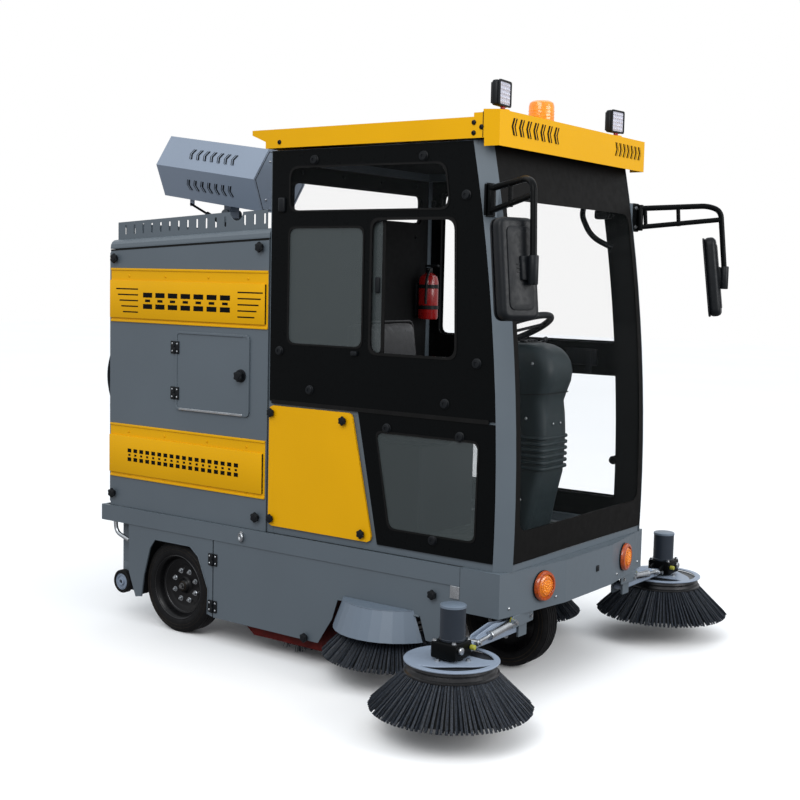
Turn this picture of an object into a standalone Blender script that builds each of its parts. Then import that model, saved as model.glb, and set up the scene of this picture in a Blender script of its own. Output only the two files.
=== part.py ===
"""Ride-on street sweeper with an enclosed cab, one central front wheel and four side brushes.

Metres, +Z up. The machine stands on z = 0 and drives towards -Y, so its right side is at -X.
Places are worked out in a design frame whose y = 0 is the front corner of the bumper. The empty
"machine" carries that frame, and stands so that the world origin is under the middle of the
machine's box. The side brushes are shown lifted, as for driving on the road.
"""

from math import atan, atan2, cos, pi, radians, sin, tan

import bmesh
import bpy
from mathutils import Matrix, Vector

# ---- driving dimensions -------------------------------------------------------------------
FRONT_Y = -0.9715  # world y of the design frame's y = 0
RIGHT, LEFT = -1, 1  # sign of x on each side
SIDES = ((RIGHT, "right"), (LEFT, "left"))

TOUCH = 0.0004  # gap kept between pieces that meet
SHEET = 0.004  # folded steel sheet
GLASS = 0.0055

BODY_HALF = 0.575  # over the belt rail
PANEL_HALF = 0.557  # over the side panels and the side glass
BELT_BOTTOM, BELT_TOP = 0.442, 0.512
BUMPER_BOTTOM, BUMPER_REAR_Y = 0.350, 0.168
DECK_BOTTOM, DECK_TOP = 0.470, 0.500
TAIL_Y = 2.104

CAB_REAR_Y = 1.127
CAB_TOP = 2.043
WAIST = 1.045  # between the upper and the lower side glass
ROOF_HALF, ROOF_EDGE, ROOF_TOP = 0.572, 2.046, 2.120
SCREEN_HALF, SCREEN_BOTTOM, SCREEN_TOP = 0.513, 0.537, 2.030
PILLAR_SETBACK = 0.057  # from the windscreen's line to the front edge of the side glass
DOOR_THICK = 0.033

REAR_BODY_Y = (1.1305, 2.066)
HOOD_REAR_Y, HOOD_REAR_Z, HOOD_SLOPE, HOOD_HIGH = 2.068, 1.653, 0.051, 0.041

WHEEL_RADIUS, WHEEL_WIDE = 0.198, 0.100
REAR_AXLE_Y, REAR_WHEEL_X = 1.644, 0.505
FRONT_AXLE_Y = 0.296

BRUSH_TIP_RADIUS, BRUSH_TIP_Z = 0.286, 0.100
BRUSH_PLATE_RADIUS, BRUSH_PLATE_Z = 0.163, 0.262
FRONT_BRUSH_X, FRONT_BRUSH_Y = 0.842, 0.018
FRONT_ARM_X, FRONT_ARM_END_X, FRONT_ARM_Z, ARM_HALF = 0.420, 0.770, 0.290, 0.018
MID_BRUSH_X, MID_BRUSH_Y = 0.458, 0.540
SKIRT_HINGE_Y = 1.411

ROLLER_RADIUS, ROLLER_Y, ROLLER_HALF = 0.150, 1.050, 0.450
ROLLER_PIVOT_Y, ROLLER_PIVOT_Z = 0.880, 0.335

WHEEL_TILT = radians(25)  # steering wheel, its front edge up
STEERING_AT = (0, 0.350, 1.343)

BLOWER_PIVOT = (0, 1.870, 1.830)
BLOWER_TILT = radians(8)
BLOWER_LONG, BLOWER_HALF_WIDE, BLOWER_HALF_FLAT, BLOWER_HALF_HIGH = 0.623, 0.174, 0.098, 0.139
BLOWER_RISE = 0.186  # from the tilt pin up to the housing's centre line
STRUT_X, STRUT_FOOT, STRUT_HEAD = -0.080, (1.775, 1.754), (2.058, 1.880)

PAINTS = {
    "grey_paint": ((0.107, 0.127, 0.144), 0.38, 0.2),
    "light_grey_paint": ((0.24, 0.28, 0.32), 0.40, 0.2),
    "yellow_paint": ((0.73, 0.37, 0.015), 0.35, 0.0),
    "black_plastic": ((0.012, 0.013, 0.014), 0.50, 0.0),
    "dark_glass": ((0.020, 0.024, 0.026), 0.08, 0.0),
    "rubber": ((0.015, 0.015, 0.015), 0.75, 0.0),
    "red_rubber": ((0.09, 0.006, 0.004), 0.65, 0.0),
    "bristle": ((0.012, 0.016, 0.022), 0.70, 0.0),
    "steel": ((0.45, 0.46, 0.47), 0.35, 0.9),
    "vinyl": ((0.015, 0.016, 0.018), 0.55, 0.0),
}


def front_line(z):
    """y of the bowed windscreen's outer face at height z."""
    return -0.017 + 0.0772 * (z - 0.72) ** 2


def hood_bottom(y):
    return HOOD_REAR_Z + HOOD_SLOPE * (HOOD_REAR_Y - y)


def hood_top(y):
    return hood_bottom(y) + HOOD_HIGH


# ---- scene, materials and placing ---------------------------------------------------------
def clear_scene():
    for obj in list(bpy.data.objects):
        bpy.data.objects.remove(obj, do_unlink=True)


def new_collection(name):
    collection = bpy.data.collections.new(name)
    bpy.context.scene.collection.children.link(collection)
    return collection


clear_scene()
PARTS = new_collection("ride_on_sweeper")
CUTTERS = new_collection("cutters")
PIVOTS = {}


def add_pivot(name, at=(0, 0, 0)):
    """An empty on a joint's axis, in the design frame. The first one carries the frame itself."""
    empty = bpy.data.objects.new(name, None)
    PARTS.objects.link(empty)
    if PIVOTS:
        empty.parent = PIVOTS["machine"][0]
        empty.location = at
    else:
        empty.location = (0, FRONT_Y, 0)
    PIVOTS[name] = (empty, Vector(at))
    return name


def paint_material(paint, name):
    color, roughness, metallic = PAINTS[paint]
    material = bpy.data.materials.new(f"{name}_{paint}")
    material.use_nodes = True
    shader = material.node_tree.nodes["Principled BSDF"]
    shader.inputs["Base Color"].default_value = (*color, 1)
    shader.inputs["Roughness"].default_value = roughness
    shader.inputs["Metallic"].default_value = metallic
    return material


def add_object(data, at=(0, 0, 0), turn=(0, 0, 0)):
    obj = bpy.data.objects.new("piece", data)
    PARTS.objects.link(obj)
    obj.parent = PIVOTS["machine"][0]
    obj.location = at
    obj.rotation_euler = turn
    return obj


def finish(obj, name, paint, pivot=None, smooth=None):
    """Names and paints a node, and hangs it on its joint's empty where it has one."""
    obj.name = name
    obj.data.name = name
    obj.data.materials.clear()
    obj.data.materials.append(paint_material(paint, name))
    if smooth:
        obj.data.shade_smooth()
        obj.data.set_sharp_from_angle(angle=radians(smooth))
    if pivot:
        empty, at = PIVOTS[pivot]
        obj.parent = empty
        obj.location = obj.location - at
    return obj


# ---- shapes -------------------------------------------------------------------------------
def mesh_object(bm, at=(0, 0, 0), turn=(0, 0, 0)):
    mesh = bpy.data.meshes.new("piece")
    bm.to_mesh(mesh)
    bm.free()
    return add_object(mesh, at, turn)


def block(low, high, bevel=0, segments=1, turn=(0, 0, 0)):
    """A box between two corners, turned about its own centre."""
    low, high = Vector(low), Vector(high)
    bm = bmesh.new()
    bmesh.ops.create_cube(bm, size=1)
    bmesh.ops.scale(bm, vec=high - low, verts=bm.verts)
    obj = mesh_object(bm, (low + high) / 2, turn)
    if bevel:
        round_edges(obj, bevel, segments)
    return obj


def mirrored_block(side, low, high, **more):
    """A box given for the left side (+X), or its mirror image on the right."""
    if side == RIGHT:
        low, high = (-high[0], *low[1:]), (-low[0], *high[1:])
    return block(low, high, **more)


def round_edges(obj, width, segments=1):
    bevel = obj.modifiers.new("Bevel", "BEVEL")
    bevel.width = width
    bevel.segments = segments
    bevel.limit_method = "ANGLE"
    bevel.angle_limit = radians(30)
    bevel.use_clamp_overlap = True


def as_mesh(curve):
    """The curve object's evaluated shape as a mesh object in the same place, its caps welded on."""
    bpy.context.view_layer.update()
    graph = bpy.context.evaluated_depsgraph_get()
    mesh = bpy.data.meshes.new_from_object(curve.evaluated_get(graph))
    bm = bmesh.new()
    bm.from_mesh(mesh)
    bmesh.ops.remove_doubles(bm, verts=bm.verts, dist=1e-5)
    bmesh.ops.recalc_face_normals(bm, faces=bm.faces)
    bm.to_mesh(mesh)
    bm.free()
    obj = add_object(mesh, curve.location, curve.rotation_euler)
    bpy.data.objects.remove(curve)
    return obj


def arc(centre, radius, start, end, steps):
    """Points on an arc, its two ends included. Angles are in degrees."""
    turns = [radians(start + (end - start) * i / steps) for i in range(steps + 1)]
    return [(centre[0] + radius * cos(a), centre[1] + radius * sin(a)) for a in turns]


def rounded(corners, radius, steps=2):
    """A closed outline whose corners are rounded with arcs that touch both sides."""
    points = []
    for i, corner in enumerate(corners):
        here = Vector(corner)
        back = (Vector(corners[i - 1]) - here).normalized()
        ahead = (Vector(corners[(i + 1) % len(corners)]) - here).normalized()
        half = back.angle(ahead) / 2
        reach = radius / tan(half)
        centre = here + (back + ahead).normalized() * radius / sin(half)
        start = here + back * reach - centre
        swing = start.angle_signed(here + ahead * reach - centre)
        for step in range(steps + 1):
            turn = -swing * step / steps
            c, s = cos(turn), sin(turn)
            points.append(centre + Vector((c * start.x - s * start.y, s * start.x + c * start.y)))
    return points


PLATE_TURNS = {"X": (pi / 2, 0, pi / 2), "Y": (pi / 2, 0, 0), "Z": (0, 0, 0)}


def plate(axis, low, high, outline, holes=(), lean=0):
    """A flat outline made solid from low to high along an axis.

    The outline is in (y, z) for X, (x, z) for Y and (x, y) for Z. A plate along Y may lean
    about X: its section then moves along the leaning line, and z is measured at low.
    """
    curve = bpy.data.curves.new("outline", "CURVE")
    curve.dimensions = "2D"
    curve.fill_mode = "BOTH"
    curve.extrude = (high - low) / 2
    for loop in (outline, *holes):
        spline = curve.splines.new("POLY")
        spline.points.add(len(loop) - 1)
        for point, (u, v) in zip(spline.points, loop):
            point.co = (u, v, 0, 1)
        spline.use_cyclic_u = True
    middle = (low + high) / 2
    at = {"X": (middle, 0, 0), "Y": (0, middle, 0), "Z": (0, 0, middle)}[axis]
    turn = Vector(PLATE_TURNS[axis])
    turn.x += lean
    return as_mesh(add_object(curve, at, turn))


def swept(section, heights, line):
    """A section in (x, y) carried up through heights, moved in y by line(z)."""
    bm = bmesh.new()
    corners = [bm.verts.new((x, y + line(heights[0]), heights[0])) for x, y in section]
    top = bm.faces.new(corners)
    for low, high in zip(heights, heights[1:]):
        made = bmesh.ops.extrude_face_region(bm, geom=[top])["geom"]
        if low != heights[0]:
            bmesh.ops.delete(bm, geom=[top], context="FACES_ONLY")
        moved = [v for v in made if isinstance(v, bmesh.types.BMVert)]
        bmesh.ops.translate(bm, vec=(0, line(high) - line(low), high - low), verts=moved)
        top = next(f for f in made if isinstance(f, bmesh.types.BMFace))
    bmesh.ops.recalc_face_normals(bm, faces=bm.faces)
    return mesh_object(bm)


AXIS_TURNS = {"X": (0, pi / 2, 0), "-X": (0, -pi / 2, 0), "Y": (-pi / 2, 0, 0), "Z": (0, 0, 0)}


def turned(profile, at, axis="Z", steps=24):
    """A profile of (radius, height along the axis), from the top down, spun about the axis."""
    mesh = bpy.data.meshes.new("profile")
    edges = [(i, i + 1) for i in range(len(profile) - 1)]
    mesh.from_pydata([(r, 0, h) for r, h in profile], edges, [])
    turn = AXIS_TURNS[axis] if isinstance(axis, str) else axis
    obj = add_object(mesh, at, turn)
    screw = obj.modifiers.new("Screw", "SCREW")
    screw.steps = screw.render_steps = steps
    screw.use_merge_vertices = True
    screw.merge_threshold = 1e-5
    return obj


def rod(at, radius, low, high, axis="Z", steps=16):
    return turned([(0, high), (radius, high), (radius, low), (0, low)], at, axis, steps)


def tube(points, radius, at=(0, 0, 0)):
    curve = bpy.data.curves.new("tube", "CURVE")
    curve.dimensions = "3D"
    curve.bevel_depth = radius
    curve.bevel_resolution = 2
    curve.use_fill_caps = True
    spline = curve.splines.new("POLY")
    spline.points.add(len(points) - 1)
    for point, place in zip(spline.points, points):
        point.co = (*place, 1)
    return as_mesh(add_object(curve, at))


def boolean(obj, other, operation):
    for collection in list(other.users_collection):
        collection.objects.unlink(other)
    CUTTERS.objects.link(other)
    other.hide_render = True
    other.display_type = "WIRE"
    modifier = obj.modifiers.new(operation.title(), "BOOLEAN")
    modifier.operation = operation
    modifier.object = other


def fuse(obj, *others):
    for other in others:
        boolean(obj, other, "UNION")
    return obj


def cut(obj, *cutters):
    for cutter in cutters:
        boolean(obj, cutter, "DIFFERENCE")
    return obj


# ---- chassis and skirts -------------------------------------------------------------------
def chassis_frame():
    """Deck, belt rails, long rails and the brackets that hang from them, welded into one."""
    edge = BODY_HALF - 0.015
    deck = block((-edge - 0.002, 0.17, DECK_BOTTOM), (edge + 0.002, TAIL_Y - 0.01, DECK_TOP))
    pieces = [block((-BODY_HALF, TAIL_Y - 0.014, BELT_BOTTOM), (BODY_HALF, TAIL_Y, BELT_TOP))]
    for side, _ in SIDES:
        pieces += [
            mirrored_block(side, (edge, 0.17, BELT_BOTTOM), (BODY_HALF, TAIL_Y - 0.005, BELT_TOP)),
            mirrored_block(side, (0.28, -0.01, 0.40), (0.34, 2.0, DECK_BOTTOM + 0.005)),
            mirrored_block(side, (0.295, REAR_AXLE_Y - 0.033, 0.227), (0.325, REAR_AXLE_Y + 0.033, 0.41)),
            mirrored_block(side, (0.512, 1.95, 0.130), (0.522, 2.02, 0.475)),
            mirrored_block(side, (0.486, 0.860, 0.310), (0.494, 0.900, 0.475)),
            mirrored_block(side, (0.42, MID_BRUSH_Y + 0.0825, 0.30), (0.47, MID_BRUSH_Y + 0.10, 0.475)),
        ]
        for y in (FRONT_BRUSH_Y - ARM_HALF - 0.009, FRONT_BRUSH_Y + ARM_HALF + 0.001):
            pieces.append(mirrored_block(side, (0.392, y, 0.262), (0.448, y + 0.008, 0.425)))
    pieces.append(block((-0.46, -0.0085, 0.405), (0.46, 0.060, 0.440)))
    return finish(fuse(deck, *pieces), "chassis_frame", "grey_paint")


def front_bumper():
    """A folded apron with a flat middle and two swept-back sides, open below and behind."""
    half_flat, bow = 0.19, -0.057

    def outline(inset, rear):
        side = BODY_HALF - inset
        corner, middle = inset * 0.9, bow + inset
        right = [(-side, rear), (-side, corner), (-half_flat, middle)]
        return right + [(-x, y) for x, y in reversed(right)]

    apron = plate("Z", BUMPER_BOTTOM, BELT_TOP, outline(0, BUMPER_REAR_Y))
    inside = plate("Z", BUMPER_BOTTOM - 0.02, BELT_TOP - SHEET, outline(SHEET, 0.2))
    return finish(cut(apron, inside), "front_bumper", "grey_paint")


def fender(side, word):
    """The fixed skirt plate with the wheel arch."""
    front, rear = SKIRT_HINGE_Y + 0.003, 1.930
    arch = [(1.440, 0.118), (1.437, 0.225), (1.496, 0.357), (1.544, 0.397)]
    arch += [(1.765, 0.397), (1.796, 0.353), (1.834, 0.227), (1.850, 0.128)]
    outline = [(front, BELT_BOTTOM - TOUCH), (front, 0.112), *arch, (1.885, 0.121)]
    outline += [(rear, 0.231), (rear, BELT_BOTTOM - TOUCH)]
    faces = sorted((side * 0.571, side * 0.567))
    return finish(plate("X", *faces, outline), f"fender_{word}", "grey_paint")


def skirt_door(side, word):
    """The hinged skirt, cut out over the middle brush and raised in front of it."""
    rear, front = SKIRT_HINGE_Y - 0.003, 0.170
    outline = [(rear, BELT_BOTTOM - TOUCH), (rear, 0.110), (0.835, 0.108), (0.765, 0.215)]
    outline += [(0.735, 0.305), (0.345, 0.305), (0.315, 0.215), (0.205, 0.215), (front, 0.280)]
    outline.append((front, BELT_BOTTOM - TOUCH))
    pivot = add_pivot(f"skirt_{word}", (side * 0.577, SKIRT_HINGE_Y, 0.27))
    faces = sorted((side * 0.571, side * 0.567))
    return finish(plate("X", *faces, outline), f"skirt_door_{word}", "grey_paint", pivot)


def mid_cover(side, word):
    """Half a cone over the middle brush, open below and towards the skirt door."""
    low, high, low_radius, high_radius = 0.205, 0.318, 0.242, 0.202
    at = (side * MID_BRUSH_X, MID_BRUSH_Y, 0)
    shell = turned([(0, high), (high_radius, high), (low_radius, low), (0, low)], at, steps=32)
    wall = SHEET * 1.5
    hollow = turned(
        [(0, high - wall), (high_radius - wall, high - wall), (low_radius - wall, low - 0.01), (0, low - 0.01)],
        at,
        steps=32,
    )
    inner = mirrored_block(side, (0.0, 0.2, 0.1), (0.5715, 0.9, 0.4))
    obj = cut(shell, hollow, inner)
    return finish(obj, f"mid_cover_{word}", "light_grey_paint", f"skirt_{word}", smooth=40)


# ---- cab ----------------------------------------------------------------------------------
def pillar_heights(low, high, count=13):
    return [low + (high - low) * i / (count - 1) for i in range(count)]


def cab_frame():
    """Welded pillars, sills and roof rails. The left side is set in to take the door."""
    low = BELT_TOP + TOUCH
    base = block((-0.51, -0.010, low), (0.51, 0.055, SCREEN_BOTTOM - TOUCH))
    pieces = []
    for side, face in ((RIGHT, 0.551), (LEFT, PANEL_HALF - DOOR_THICK - 0.001)):
        section = [(PANEL_HALF, PILLAR_SETBACK - 0.001), (0.5145, -0.002), (0.5135, 0.008)]
        section += [(0.495, 0.008), (0.495, 0.110), (face, 0.110), (face, PILLAR_SETBACK)]
        section = [(side * x, y) for x, y in section]
        pieces += [
            swept(section, pillar_heights(low, CAB_TOP), front_line),
            mirrored_block(side, (0.495, 1.0955, low), (face, CAB_REAR_Y, CAB_TOP)),
            mirrored_block(side, (0.497, 0.09, low), (face - 0.001, 1.12, 0.547)),
            mirrored_block(side, (0.497, 0.16, 2.0), (face - 0.001, 1.12, CAB_TOP - 0.001)),
            mirrored_block(side, (0.5155, 0.0858, 1.772), (0.602, 0.094, 1.886)),
        ]
    pieces += [
        block((-0.51, 0.128, 1.965), (0.51, 0.185, CAB_TOP - 0.002)),
        block((-0.51, 1.0965, 2.0), (0.51, CAB_REAR_Y - 0.001, CAB_TOP - 0.002)),
        block((-0.550, 0.10, WAIST - 0.022), (-0.520, 1.11, WAIST + 0.018)),
        plate("X", -0.549, -0.521, [(0.545, 0.53), (0.605, 0.53), (0.710, 1.05), (0.650, 1.05)]),
    ]
    return finish(fuse(base, *pieces), "cab_frame", "grey_paint")


def windscreen():
    heights = pillar_heights(SCREEN_BOTTOM, SCREEN_TOP, 9)
    outer = [(front_line(z), z) for z in heights]
    inner = [(front_line(z) + 0.006, z) for z in reversed(heights)]
    obj = plate("X", -SCREEN_HALF, SCREEN_HALF, outer + inner)
    return finish(obj, "windscreen", "dark_glass", smooth=30)


def side_outline(low, high, rear_low, rear_high, clear=0.001, count=5):
    """Outline in (y, z) from the leaning front edge of the side glass back to a rear edge."""
    heights = pillar_heights(low, high, count)
    front = [(front_line(z) + PILLAR_SETBACK + clear, z) for z in heights]
    return front + [(rear_high, high), (rear_low, low)]


def box_outline(y_low, y_high, z_low, z_high):
    return [(y_low, z_low), (y_high, z_low), (y_high, z_high), (y_low, z_high)]


def upper_glass():
    """Fixed side glass of the right side, open where its sliding pane is pushed back."""
    hole = rounded(box_outline(0.235, 0.605, 1.275, 1.765), 0.030)
    outline = side_outline(WAIST + 0.005, CAB_TOP - 0.003, 1.118, 1.118)
    obj = plate("X", -PANEL_HALF, -PANEL_HALF + GLASS, outline, [hole])
    return finish(obj, "upper_glass_right", "dark_glass")


def lower_glass():
    outline = side_outline(0.540, WAIST - 0.005, 0.562, 0.666, clear=0.003)
    obj = plate("X", -PANEL_HALF, -PANEL_HALF + GLASS, outline)
    return finish(obj, "lower_glass_right", "dark_glass")


def cab_panel():
    outline = rounded([(0.584, 0.543), (1.116, 0.543), (1.116, 1.032), (0.694, 1.032)], 0.020)
    obj = plate("X", -PANEL_HALF - 0.0035, -PANEL_HALF + GLASS, outline)
    return finish(obj, "cab_panel_right", "yellow_paint")


def window_slider():
    pivot = add_pivot("window_slide", (-0.542, 0.8, 1.52))
    obj = plate("X", -0.5445, -0.5395, rounded(box_outline(0.560, 1.045, 1.255, 1.785), 0.02))
    return finish(obj, "window_slider_right", "dark_glass", pivot)


def cab_door():
    """The left side door, its two panes 6 mm thick between recesses on both faces."""
    outer, inner = PANEL_HALF, PANEL_HALF - DOOR_THICK
    outline = side_outline(BELT_TOP + 0.004, CAB_TOP - 0.003, 1.118, 1.118, clear=0.003)
    slab = plate("X", inner, outer, outline)
    windows = [
        side_outline(1.300, 1.950, 1.045, 1.045, clear=0.045),
        side_outline(0.640, 1.165, 0.560, 0.640, clear=0.045),
    ]
    cutters = []
    for window in windows:
        window = rounded(window, 0.022)
        cutters.append(plate("X", outer - 0.010, outer + 0.01, window))
        cutters.append(plate("X", inner - 0.01, inner + 0.017, window))
    pivot = add_pivot("cab_door_hinge", (0.562, 1.122, 1.28))
    return finish(cut(slab, *cutters), "cab_door", "grey_paint", pivot)


def roof():
    """A folded pan with a deeper box along its front edge and a lip over the rear."""
    front = [(0.058, 2.017), (0.120, 2.017), (0.120, ROOF_EDGE), (1.143, ROOF_EDGE + 0.004)]
    top = [(1.143, 2.076), (1.214, 2.104), (1.214, ROOF_TOP + 0.003)]
    top += [(0.165, ROOF_TOP), (0.165, 2.134)]
    top += [(0.126, 2.134), (0.126, 2.145), (0.058, 2.141)]
    pan = plate("X", -ROOF_HALF, ROOF_HALF, front + top)
    inside = ROOF_HALF - SHEET
    front_hollow = block((-inside, 0.062, 2.0), (inside, 0.117, 2.136))
    under = [(0.116, 2.0), (1.139, 2.0), (1.139, 2.080), (1.208, 2.108)]
    hollow = plate("X", -inside, inside, [*under, (1.208, ROOF_TOP - 0.006), (0.116, ROOF_TOP - 0.006)])
    stems = [
        mirrored_block(side, (0.430, 0.106, 2.139), (0.454, 0.125, 2.157)) for side, _ in SIDES
    ]
    return finish(fuse(cut(pan, front_hollow, hollow), *stems), "roof", "yellow_paint")


def rear_wall():
    """The cab's rear wall. Its window is a 6 mm pane between two recesses."""
    low, high = 1.0975, 1.1225
    wall = block((-0.4945, low, DECK_TOP + TOUCH), (0.4945, high, 1.9995))
    window = rounded([(-0.445, 1.760), (0.445, 1.760), (0.445, 1.933), (-0.445, 1.933)], 0.03)
    front = plate("Y", low - 0.01, low + 0.0095, window)
    back = plate("Y", high - 0.0095, high + 0.01, window)
    return finish(cut(wall, front, back), "rear_wall", "grey_paint")


def seat():
    base = block((-0.20, 0.62, DECK_TOP + TOUCH), (0.20, 1.04, 0.880), bevel=0.008)
    finish(base, "seat_base", "black_plastic")
    pivot = add_pivot("seat_slide", (0, 0.70, 0.89))
    cushion = block((-0.23, 0.450, 0.895), (0.23, 0.885, 0.995), bevel=0.03, segments=2)
    finish(cushion, "seat_cushion", "vinyl", pivot, smooth=50)
    back = block((-0.215, 0.920, 0.970), (0.215, 1.010, 1.370), 0.03, 2, turn=(radians(-8), 0, 0))
    finish(back, "seat_back", "vinyl", pivot, smooth=50)


def steering_console():
    """The column cover: a foot, a narrow waist and a head that bulges forward."""
    front = [(0.190, DECK_TOP + 0.001), (0.150, 0.700), (0.122, 0.800), (0.110, 0.960)]
    front += [(0.128, 1.100), (0.092, 1.160), (0.088, 1.215), (0.115, 1.275), (0.170, 1.308)]
    rear = [(0.345, 1.308), (0.385, 1.270), (0.375, 1.150), (0.330, 1.060), (0.320, 0.860)]
    rear += [(0.350, 0.820), (0.350, DECK_TOP + 0.001)]
    body = plate("X", -0.110, 0.110, front + rear)
    round_edges(body, 0.012)
    return finish(body, "steering_console", "black_plastic", smooth=30)


def steering_wheel():
    pivot = add_pivot("steering", STEERING_AT)
    turn = (-WHEEL_TILT, 0, 0)
    bpy.ops.mesh.primitive_torus_add(
        major_radius=0.184, minor_radius=0.013, major_segments=28, minor_segments=8
    )
    ring = bpy.context.object
    for collection in list(ring.users_collection):
        collection.objects.unlink(ring)
    PARTS.objects.link(ring)
    ring.parent = PIVOTS["machine"][0]
    ring.location = STEERING_AT
    ring.rotation_euler = turn
    hub = turned([(0, 0.018), (0.030, 0.018), (0.036, 0.0), (0.022, -0.014), (0, -0.014)], STEERING_AT, turn, 16)
    spokes = []
    for angle in (90, 210, 330):
        bm = bmesh.new()
        bmesh.ops.create_cube(bm, size=1)
        bmesh.ops.scale(bm, vec=(0.160, 0.024, 0.008), verts=bm.verts)
        bmesh.ops.translate(bm, vec=(0.100, 0, 0), verts=bm.verts)
        bmesh.ops.rotate(bm, matrix=Matrix.Rotation(radians(angle), 3, "Z"), verts=bm.verts)
        spokes.append(mesh_object(bm, STEERING_AT, turn))
    return finish(fuse(ring, hub, *spokes), "steering_wheel", "black_plastic", pivot, smooth=40)


def accelerator_pedal():
    pivot = add_pivot("pedal", (-0.16, 0.300, 0.522))
    tread = block((-0.19, 0.178, 0.560), (-0.13, 0.298, 0.572), bevel=0.003, turn=(radians(-36), 0, 0))
    return finish(tread, "accelerator_pedal", "black_plastic", pivot)


# ---- rear body ----------------------------------------------------------------------------
HATCH_HOLE = box_outline(1.250, 1.630, 1.000, 1.280)


def rear_body():
    """The hopper housing: a shell open at the rear, with the service opening on the right."""
    front, rear = REAR_BODY_Y
    wall, low, gap = 0.006, BELT_TOP + TOUCH, 0.003
    inside = PANEL_HALF - wall
    outline = box_outline(front, rear, low, hood_bottom(rear) - gap)
    outline[2] = (rear, hood_bottom(rear) - gap)
    outline[3] = (front, hood_bottom(front) - gap)
    inner = [(front + wall, low + wall), (rear + 0.02, low + wall)]
    inner += [(y, hood_bottom(y) - gap - wall) for y in (rear + 0.02, front + wall)]
    shell = plate("X", -PANEL_HALF, PANEL_HALF, outline)
    hollow = plate("X", -inside, inside, inner)
    hole = plate("X", -PANEL_HALF - 0.01, -inside + 0.02, rounded(HATCH_HOLE, 0.03))
    return finish(cut(shell, hollow, hole), "rear_body", "grey_paint")


def hatch():
    pivot = add_pivot("hatch_hinge", (-0.565, 1.656, 1.14))
    obj = plate("X", -0.562, -PANEL_HALF - TOUCH, rounded(box_outline(1.225, 1.652, 0.972, 1.309), 0.02))
    return finish(obj, "hatch_right", "grey_paint", pivot)


def rear_door():
    pivot = add_pivot("rear_door_hinge", (0.550, 2.090, 1.08))
    low, high = 2.0675, 2.0875
    leaf = block((-0.546, low, 0.522), (0.546, high, 1.640), bevel=0.004)
    return finish(leaf, "rear_door", "grey_paint", pivot)


def dust_bin():
    box = block((-0.50, 1.55, 0.521), (0.50, 2.045, 1.05))
    hollow = block((-0.494, 1.556, 0.527), (0.494, 2.039, 1.07))
    return finish(cut(box, hollow), "dust_bin", "steel")


def hood():
    """A pan with rounded long edges, sloping down to the rear."""
    half, corner = PANEL_HALF, 0.035
    left = arc((half - corner, HOOD_HIGH - corner), corner, 0, 90, 4)
    outline = [(-half, 0), (half, 0), *left, *[(-x, z) for x, z in reversed(left)]]
    length = (HOOD_REAR_Y - 1.128) / cos(atan(HOOD_SLOPE))
    lean = -atan(HOOD_SLOPE)
    middle_y = (HOOD_REAR_Y + 1.128) / 2
    shell = plate("Y", -length / 2, length / 2, outline, lean=lean)
    inside = [(-half + SHEET, -0.02), (half - SHEET, -0.02)]
    inside += [(half - SHEET, HOOD_HIGH - corner), (half - corner, HOOD_HIGH - SHEET)]
    inside += [(-half + corner, HOOD_HIGH - SHEET), (-half + SHEET, HOOD_HIGH - corner)]
    hollow = plate("Y", -length / 2 + SHEET, length / 2 - SHEET, inside, lean=lean)
    for piece in (shell, hollow):
        piece.location = (0, middle_y, hood_bottom(middle_y))
    return finish(cut(shell, hollow), "hood", "grey_paint", smooth=40)


def guard_rail():
    """An upright fence on three sides of the hood. Its pressed slots are left to the finish."""
    front, rear, high, wall, half = 1.174, 2.060, 0.076, 0.003, 0.520

    def strip(y_low, y_high, x_low, x_high):
        outline = [(y_low, hood_top(y_low) + TOUCH), (y_high, hood_top(y_high) + TOUCH)]
        outline += [(y_high, hood_top(y_high) + high), (y_low, hood_top(y_low) + high)]
        return plate("X", x_low, x_high, outline)

    right = strip(front, rear, -half, -half + wall)
    left = strip(front, rear, half - wall, half)
    back = strip(rear - wall, rear - 0.0002, -half + 0.001, half - 0.001)
    return finish(fuse(right, left, back), "guard_rail", "grey_paint")


def blower_pedestal():
    """Two cheeks with a round hole, on a foot bolted to the hood."""
    y, z = BLOWER_PIVOT[1:]

    def foot(half, thick):
        low, high = y - half, y + half
        return [
            (low, hood_top(low) + TOUCH),
            (high, hood_top(high) + TOUCH),
            (high, hood_top(high) + thick),
            (low, hood_top(low) + thick),
        ]

    base = plate("X", -0.10, 0.10, foot(0.11, 0.008))
    foot_y, foot_z = STRUT_FOOT
    lug_low = hood_top(foot_y) + 0.003
    cheeks = [block((-0.0665, foot_y - 0.011, lug_low), (-0.0605, foot_y + 0.013, foot_z + 0.012))]
    crown = arc((y, z), 0.024, 0, 180, 6)
    outline = [(y - 0.070, hood_top(y - 0.070) + 0.004), (y + 0.070, hood_top(y + 0.070) + 0.004), *crown]
    hole = arc((y, z - 0.070), 0.026, 0, 330, 11)
    for side, _ in SIDES:
        faces = sorted((side * 0.038, side * 0.046))
        cheeks.append(plate("X", *faces, outline, [hole]))
    return finish(fuse(base, *cheeks), "blower_pedestal", "grey_paint")


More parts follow.
